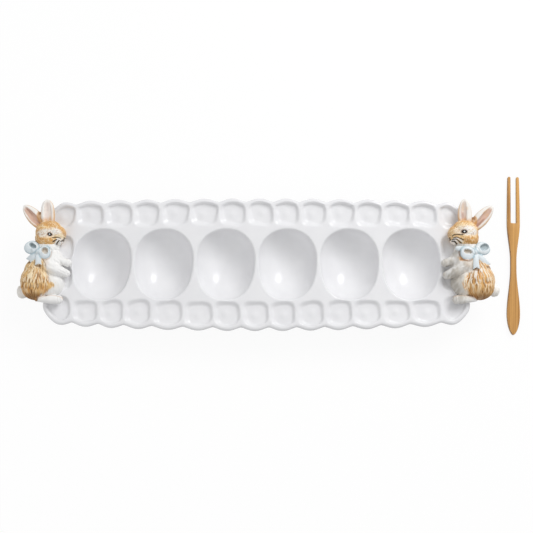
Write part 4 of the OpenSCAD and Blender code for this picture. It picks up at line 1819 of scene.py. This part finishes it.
        # Painted shadow of the gap between the ears: a brown spot at its top and a line down it.
        tuft = smooth_step(1.2, 0.4, blob(x, y, (tx - 0.4, ty + 2.6), (2.3, 2.6)) + 0.4 * ragged)
        gap_shadow = smooth_step(1.2, 0.3, blob(x, y, (tx + 0.8, ty - 1.6), (1.5, 4.6), 14.0) + 0.4 * ragged)
        between = Patch(self.tuft_at, (3.3, 5.2), 12.0).cover(x, y, 1.25, 1.0) * smooth_step(8.6, 7.2, z)
        col = mix(col, FUR.ochre, 0.75 * between)
        return mix(col, FUR.brown, between * np.maximum(0.85 * tuft, 0.5 * gap_shadow))

    def paint_ear(self, col: Array, x: Array, y: Array, z: Array, ear: Ear) -> Array:
        """Lays the ear's white rim, pink hollow and brown root over the head's colours, with painted shade:
        grey in the white where the rabbit's shade is set, tan along the edges and a rose line along the fold.

        Args:
            col: Colours so far.
            x: Places along the dish, in the rabbit's own frame.
            y: Places across the dish.
            z: Heights above the field.
            ear: The ear.

        Returns:
            Colours with the ear painted.
        """
        c = FUR
        near = ear is self.near_ear
        t, a = ear.where(x, y)
        skull = self.SKULL.rho(x, y)
        on_ear = smooth_step(0.96, 1.06, skull) * (np.abs(a) < 1.3) * (t > 0.12) * (y > 21)
        streak = self.brush(Layer.EAR, a * 3.2 + 5, t * 4.5)
        # Painted shade: where the rabbit's shade is set, the ear's white is greyed.
        white = mix(plain(x, c.ear), c.shaded, np.full(len(x), 0.3 * self.shade))
        col = mix(col, mix(white, c.ivory, 0.5 * streak), on_ear)
        # Painted shade: tan along both edges of the ear, where it turns away.
        col = mix(col, c.tan, 0.32 * smooth_step(0.80, 1.0, np.abs(a)) * on_ear)
        rim = np.abs(a - ear.fold) + 0.25 * (streak - 0.5)
        hollow = smooth_step(ear.hollow, 0.6 * ear.hollow, rim) * smooth_step(0.97, 0.82, t)
        pink = mix(plain(x, c.pink), c.rose, smooth_step(0.50, 0.85, streak))
        pink = mix(pink, c.ivory, (0.5 if near else 0.1) * smooth_step(0.55, 0.25, streak))
        strength = 0.36 + 0.36 * self.shade if near else 0.92
        col = mix(col, pink, strength * hollow * on_ear * (z > ear.root[2] - 4.0))
        # Painted shadow of the fold: a rose line along the right side of the hollow, short of the tip.
        crease = smooth_step(0.10, 0.0, np.abs(a - ear.fold - 0.42)) * smooth_step(0.9, 0.7, t)
        col = mix(col, c.rose, (0.3 if near else 0.55) * crease * on_ear)
        outer = smooth_step(0.62, 0.92, a if near else -a) * smooth_step(0.92, 0.45, t)
        col = mix(col, c.ochre, 0.65 * outer * on_ear)
        col = mix(col, c.tan, 0.35 * smooth_step(0.34, 0.14, streak) * on_ear)
        root = smooth_step(1.42, 1.05, skull + 0.45 * (streak - 0.5)) * on_ear
        return mix(col, c.ochre, 0.65 * root)

    def paint_eye(self, col: Array, x: Array, y: Array, front: Array) -> Array:
        """Lays the eye over the head's colours: dark almond, brown ring and highlight.

        Args:
            col: Colours so far.
            x: Places along the dish, in the rabbit's own frame.
            y: Places across the dish.
            front: Cover of the side that is seen.

        Returns:
            Colours with the eye painted.
        """
        wide, tall = self.eye.half
        shine = Patch((self.eye.at[0] - 0.2, self.eye.at[1]), (0.28 * wide, 0.38 * tall))
        col = mix(col, FUR.brown, 0.7 * self.eye.grown(1.25, 1.25).cover(x, y, 1.25, 0.95) * front)
        col = mix(col, FUR.black, self.eye.cover(x, y, 1.12, 0.92) * front)
        return mix(col, FUR.shine, shine.cover(x, y, 1.2, 0.8) * front)

    # Bow

    def build_bow(self) -> bpy.types.Object:
        """Models the bow with its knot, loops, ribbon ends and neck band.

        Returns:
            The bow.
        """
        bm = bmesh.new()
        bow = self.bow
        for puff in (loop.puff for loop in bow.loops):
            puff.add_to(bm, self.place)
            near = tuple(0.42 * m + 0.58 * k for m, k in zip(puff.at, bow.knot))
            half = (bow.pinch_share * puff.half[0], bow.pinch_share * puff.half[1], bow.pinch_h)
            Lump(near, half, puff.turn).add_to(bm, self.place)
        for end in bow.ends:
            self.add_ribbon_end(bm, end)
        Lump(bow.knot, bow.knot_half, bow.knot_turn).add_to(bm, self.place)
        for lump in limb(bow.band, [bow.band_r] * len(bow.band), flat=0.75, beads=12):
            lump.add_to(bm, self.place, fineness=3)
        bmesh.ops.recalc_face_normals(bm, faces=bm.faces)
        obj = mesh_object(self.name("bow_sculpted"), bm)
        fuse_clay(obj, self.bow_voxel, self.bow_rounds)
        world = points_of(obj.data)
        x, y, z = self.own(obj.data)
        dent = sum(
            self.hollow(x, y, loop) * smooth_step(-0.5, 0.8, z - loop.puff.at[2]) for loop in bow.loops
        )
        knot = Patch(bow.knot[:2], (3.2, 3.4), bow.knot_turn)
        crease = np.exp(-((knot.rho(x, y) - 1.05) ** 2) / 0.02)
        crease *= smooth_step(-1.0, 1.0, z - bow.knot[2] + 2.0)
        world[:, 2] -= bow.hole_depth * np.clip(dent, 0.0, 1.0) + self.relief.knot * crease
        move_points(obj.data, world)
        paint_points(obj.data, self.paint_bow(x, y))
        return obj

    def hollow(self, x: Array, y: Array, loop: BowLoop) -> Array:
        """Hollow of a loop, which narrows towards the knot.

        Args:
            x: Places along the dish, in the rabbit's own frame.
            y: Places across the dish.
            loop: The loop.

        Returns:
            The share of the hollow, 1 in its middle and 0 on the ribbon.
        """
        (hx, hy), knot = loop.hole.at, self.bow.knot
        kx, ky = knot[0] - hx, knot[1] - hy
        near = ((x - hx) * kx + (y - hy) * ky) / math.hypot(kx, ky)
        wedge = 1 + 0.22 * np.clip(near / loop.hole.half[0], -1.0, 1.4)
        return smooth_step(1.15, 0.70, loop.hole.rho(x, y) * wedge)

    def add_ribbon_end(self, bm: bmesh.types.BMesh, end: RibbonEnd) -> None:
        """Presses one ribbon end on to the bow, which widens to a notched tip.

        Args:
            bm: The bow's clay.
            end: The ribbon end.
        """
        bow = self.bow
        a, b = Vector(bow.knot), Vector(end.tip)
        along = (b - a).normalized()
        across = Vector((-along.y, along.x, 0.0)).normalized()
        root = bow.ribbon_root
        wide, long = bow.ribbon_cells
        made = bmesh.ops.create_grid(bm, x_segments=wide, y_segments=long, size=1.0)
        for vert in made["verts"]:
            t, s = (vert.co.y + 1) / 2, vert.co.x
            notch = bow.notch_share * (1 - abs(s)) * min(max((t - 0.6) / 0.4, 0.0), 1.0)
            half = root + (end.half_w - root) * t**0.7
            bulge = bow.ribbon_bulge * (1 - s * s) + bow.ribbon_arch * math.sin(math.pi * t)
            up = Vector((0.0, 0.0, bulge - bow.ribbon_sink))
            vert.co = a.lerp(b, t * (1 - notch)) + across * (s * half) + up
        faces = dict.fromkeys(f for v in made["verts"] for f in v.link_faces)
        thick = bmesh.ops.solidify(bm, geom=list(faces), thickness=bow.ribbon_t)["geom"]
        verts = dict.fromkeys(made["verts"] + [g for g in thick if isinstance(g, bmesh.types.BMVert)])
        bmesh.ops.transform(bm, matrix=self.place, verts=list(verts))

    def paint_bow(self, x: Array, y: Array) -> Array:
        """Colours of the bow: pale blue, darker along its edges and, partly as painted shade, in its hollows.

        Args:
            x: Places along the dish, in the rabbit's own frame.
            y: Places across the dish.

        Returns:
            Linear colours.
        """
        c = FUR
        bow = self.bow
        cloud = self.brush(Layer.RIBBON, x, y, (2.4, 2.4))
        col = mix(plain(x, c.blue), c.blue_light, bow.pale + (1 - bow.pale) * 0.7 * cloud)
        for loop in bow.loops:
            rho = loop.puff.plan.rho(x, y)
            col = mix(col, c.blue_edge, 0.7 * smooth_step(0.78, 1.0, rho) * (rho < 1.15))
            lip = smooth_step(0.25, 0.0, np.abs(loop.hole.rho(x, y) - 1.35))
            col = mix(col, c.blue_light, 0.6 * lip)
        # Partly painted shade: each loop's hollow is a darker grey-blue than the ribbon, warmed with tan for
        # a warm loop, and lightens to ivory or blue towards its lower side.
        for loop in bow.loops:
            inside = mix(plain(x, c.hollow), c.tan, np.full(len(x), 0.5 * loop.warm))
            fade = smooth_step(0.9, -1.0, (y - loop.hole.at[1]) / loop.hole.half[1])
            inside = mix(inside, c.ivory if loop.warm > 0.5 else c.blue, 0.75 * fade)
            col = mix(col, inside, 0.92 * self.hollow(x, y, loop))
        for end in bow.ends:
            col = mix(col, c.blue_light, 0.35 * stroke(x, y, (bow.knot[:2], end.tip[:2]), 1.6))
        return col

    def build(self, glaze: bpy.types.Material, ribbon: bpy.types.Material) -> None:
        """Models, paints and hands in the whole rabbit.

        Args:
            glaze: Finish of the painted fur.
            ribbon: Finish of the bow.
        """
        body = [self.name(n) for n in ("body", "near_foreleg", "far_forepaw", "hind_foot", "tail")]
        head = [self.name(n) for n in ("head", "near_ear", "far_ear")]
        hand_in(self.build_body(), glaze, Body.PLATTER, body)
        hand_in(self.build_head(), glaze, Body.PLATTER, head)
        hand_in(self.build_bow(), ribbon, Body.PLATTER, [self.name("bow")])


# Fork


@dataclass
class Fork:
    """The two-tined fork, in millimetres along its own length."""

    x: float = 235.65
    y: float = 13.5
    turn: float = 3.0
    length: float = 149.0
    width: float = 11.6
    waist: float = 5.2
    waist_l: float = 8.0
    thickness: float = 4.0
    slot_l: float = 45.0
    slot_w: float = 5.2
    slot_r: float = 0.9
    tip_r: float = 1.8
    worn: float = 0.4
    handle_share: float = 0.13
    handle_power: float = 0.62
    waist_share: float = 0.435
    tine_tip_share: float = 0.82
    tine_power: float = 2.2
    tip_taper: float = 0.30
    tip_blunt: float = 0.6
    handle_points: int = 10
    blade_points: int = 44
    tip_points: int = 9
    slot_points: int = 12
    root_points: int = 5

    @property
    def handle_l(self) -> float:
        """Length of the handle's rounded end."""
        return self.length * self.handle_share

    @property
    def shoulder(self) -> float:
        """Distance of the tines' root from the handle's end."""
        return self.length - self.slot_l

    def half_width(self, t: Array) -> Array:
        """Half width of the blade.

        Args:
            t: Distances from the handle's end.

        Returns:
            The half width at each distance.
        """
        handle, waist, shoulder = self.handle_l, self.length * self.waist_share, self.shoulder
        w, thin = self.width / 2, self.waist / 2
        end = w * np.clip(1 - (1 - np.clip(t / handle, 0, 1)) ** 2, 0, 1) ** self.handle_power
        narrow = w + (thin - w) * smooth_step(handle, waist - self.waist_l / 2, t)
        wide = thin + (w - thin) * smooth_step(waist + self.waist_l / 2, shoulder, t)
        tip_w = self.slot_w / 2 + (w - self.slot_w / 2) * self.tine_tip_share
        tine = w + (tip_w - w) * np.clip((t - shoulder) / self.slot_l, 0, 1) ** self.tine_power
        return np.select((t < handle, t < waist, t < shoulder), (end, narrow, wide), tine)

    def outline(self) -> list[Spot]:
        """Outline of the blade from the handle round the tines.

        Returns:
            The points, anticlockwise from the handle's end.
        """
        bend = self.handle_l * (1 - np.cos(np.linspace(0.06, 1.57, self.handle_points)))
        rise = np.concatenate((bend, np.linspace(self.handle_l + 3, self.length - 2.0, self.blade_points)))
        right = [(float(w), float(t)) for t, w in zip(rise, self.half_width(rise))]
        inner, outer = self.slot_w / 2, float(self.half_width(np.array([self.length]))[0])
        mid, half = (inner + outer) / 2, (outer - inner) / 2
        cap = []
        for a in np.linspace(0.25, 2.9, self.tip_points):
            blunt = math.copysign(abs(math.cos(a)) ** self.tip_blunt, math.cos(a))
            cap.append((mid + half * blunt, self.length - self.tip_r + self.tip_r * math.sin(a)))
        r, low = self.slot_r, self.shoulder
        slot = [(inner, t) for t in np.linspace(self.length - 2.6, low + r, self.slot_points)]
        turns = np.linspace(0.3, 1.57, self.root_points)
        root = [(inner - r + r * math.cos(a), low + r - r * math.sin(a)) for a in turns]
        side = right + cap + slot + root + [(0.0, low)]
        return side + [(-px, py) for px, py in reversed(side[:-1])]

    def build(self) -> bpy.types.Object:
        """Models the fork from its outline, thinned to the tips, with worn edges.

        Returns:
            The fork.
        """
        bm = bmesh.new()
        verts = [bm.verts.new((px, py - self.length / 2, 0.0)) for px, py in [(0.0, 0.0)] + self.outline()]
        made = bmesh.ops.extrude_face_region(bm, geom=[bm.faces.new(verts)])["geom"]
        up = [g for g in made if isinstance(g, bmesh.types.BMVert)]
        bmesh.ops.translate(bm, verts=up, vec=(0.0, 0.0, self.thickness))
        for vert in up:
            share = min(max((vert.co.y + self.length / 2 - self.shoulder) / self.slot_l, 0.0), 1.0)
            vert.co.z *= 1 - self.tip_taper * share
        bmesh.ops.recalc_face_normals(bm, faces=bm.faces)
        level = [e for e in bm.edges if abs(e.verts[0].co.z - e.verts[1].co.z) < 1.0]
        rims = [e for e in level if len(e.link_faces) == 2 and e.calc_face_angle(0.0) > 0.9]
        bmesh.ops.bevel(
            bm, geom=rims, offset=self.worn, segments=3, profile=0.5, affect="EDGES", material=-1,
            offset_type="OFFSET", clamp_overlap=True,
        )
        bmesh.ops.triangulate(bm, faces=[f for f in bm.faces if len(f.verts) > 4])
        place = Matrix.Translation((self.x, self.y, 0.0)) @ Matrix.Rotation(math.radians(-self.turn), 4, "Z")
        bmesh.ops.transform(bm, matrix=Matrix.Scale(MM, 4) @ place, verts=bm.verts)
        return mesh_object("fork_bamboo", bm)


# Studio


@dataclass(frozen=True)
class Lamp:
    """One round soft box that points at the dish: place and width in metres, power in watts."""

    name: str
    at: Point
    size: float
    power: float
    mirrored: bool = True

    def hang(self) -> None:
        """Adds the lamp to the scene."""
        data = bpy.data.lights.new(self.name, "AREA")
        data.shape, data.size, data.energy = "DISK", self.size, self.power
        obj = bpy.data.objects.new(self.name, data)
        obj.location = self.at
        obj.rotation_euler = (-Vector(self.at)).to_track_quat("-Z", "Y").to_euler()
        obj.visible_glossy = self.mirrored
        bpy.context.scene.collection.objects.link(obj)


@dataclass
class Studio:
    """Floor, soft light and the camera that looks down on the table."""

    target: Point = (8.92, -2.93, 27.0)
    elevation: float = 77.98
    distance: float = 863.8
    view_angle: float = 30.72
    sensor: float = 36.0
    floor_size: float = 6.0
    floor_grey: float = 0.5
    floor_glow: float = 1.08
    glow_share: float = 0.86
    room_light: float = 0.50
    lamps: tuple[Lamp, ...] = (
        Lamp("key", (0.80, 0.82, 0.98), 0.9, 9.2, mirrored=False),
        Lamp("fill", (-0.85, -0.45, 0.65), 1.0, 2.1, mirrored=False),
        Lamp("overhead", (0.4, 0.15, 1.5), 2.0, 1.2),
        Lamp("window", (0.55, 0.76, 0.74), 0.46, 2.6),
    )

    def floor(self) -> None:
        """Lays the white table."""
        bm = bmesh.new()
        bmesh.ops.create_grid(bm, x_segments=1, y_segments=1, size=self.floor_size / 2)
        obj = mesh_object("floor", bm)
        made = bpy.data.materials.new("white_table")
        made.use_nodes = True
        tree = made.node_tree
        tree.nodes.clear()
        out = node_of(made, "ShaderNodeOutputMaterial")
        grey = (self.floor_grey, self.floor_grey, self.floor_grey, 1.0)
        matt = node_of(made, "ShaderNodeBsdfDiffuse", Color=grey)
        glow = node_of(made, "ShaderNodeEmission", Strength=self.floor_glow)
        share = node_of(made, "ShaderNodeMath")
        share.operation = "MULTIPLY"
        share.inputs[1].default_value = self.glow_share
        tree.links.new(self.seen_rays(tree), share.inputs[0])
        both = node_of(made, "ShaderNodeMixShader")
        tree.links.new(share.outputs[0], both.inputs["Fac"])
        tree.links.new(matt.outputs[0], both.inputs[1])
        tree.links.new(glow.outputs[0], both.inputs[2])
        tree.links.new(both.outputs[0], out.inputs["Surface"])
        obj.data.materials.append(made)

    def seen_rays(self, tree: bpy.types.NodeTree) -> bpy.types.NodeSocket:
        """Picks out the rays by which the background itself is seen.

        Args:
            tree: Node tree of the floor or the world.

        Returns:
            A socket that is 1 for rays from the camera, from gloss and through glass.
        """
        path = tree.nodes.new("ShaderNodeLightPath")
        seen = path.outputs["Is Camera Ray"]
        for kind in ("Is Glossy Ray", "Is Transmission Ray"):
            either = tree.nodes.new("ShaderNodeMath")
            either.operation = "MAXIMUM"
            tree.links.new(seen, either.inputs[0])
            tree.links.new(path.outputs[kind], either.inputs[1])
            seen = either.outputs[0]
        return seen

    def light(self) -> None:
        """Sets the soft room light, which is seen as white, and hangs the lamps."""
        world = bpy.data.worlds.new("room")
        world.use_nodes = True
        tree = world.node_tree
        level = tree.nodes.new("ShaderNodeMapRange")
        level.inputs["To Min"].default_value, level.inputs["To Max"].default_value = self.room_light, 1.0
        tree.links.new(self.seen_rays(tree), level.inputs["Value"])
        back = tree.nodes["Background"]
        back.inputs["Color"].default_value = (1.0, 1.0, 1.0, 1.0)
        tree.links.new(level.outputs["Result"], back.inputs["Strength"])
        bpy.context.scene.world = world
        for lamp in self.lamps:
            lamp.hang()

    def camera(self) -> None:
        """Sets the camera at the photograph's viewing angle."""
        data = bpy.data.cameras.new("camera")
        data.sensor_width = self.sensor
        data.lens = self.sensor / 2 / math.tan(math.radians(self.view_angle) / 2)
        obj = bpy.data.objects.new("camera", data)
        e = math.radians(self.elevation)
        back = Vector((0.0, -math.cos(e), math.sin(e)))
        obj.location = Vector(self.target) * MM + back * self.distance * MM
        obj.rotation_euler = (-back).to_track_quat("-Z", "Y").to_euler()
        bpy.context.scene.collection.objects.link(obj)
        bpy.context.scene.camera = obj

    def build(self) -> None:
        """Sets up the whole studio."""
        bpy.context.scene.view_settings.view_transform = "Standard"
        self.floor()
        self.light()
        self.camera()


def main() -> None:
    """Builds the set piece by piece and logs each piece's face count."""
    logging.basicConfig(level=logging.INFO, format="%(message)s")
    Studio().build()
    dish = Dish()
    hand_in(dish.build(), Glaze("white_glaze").material(), Body.PLATTER, ["dish"])
    hand_in(dish.build_foot(), FootGlaze("foot_glaze").material(), Body.PLATTER, ["dish"])
    painted = Glaze("painted_glaze", painted=True, roughness=(0.34, 0.50), ripple_scale=240.0).material()
    ribbon = Glaze("ribbon_glaze", painted=True, roughness=(0.26, 0.40), ripple_scale=180.0).material()
    for side in Side:
        Rabbit.of(side).build(painted, ribbon)
    hand_in(Fork().build(), Bamboo("bamboo").material(), Body.FORK, ["fork"])


if __name__ == "__main__":
    main()
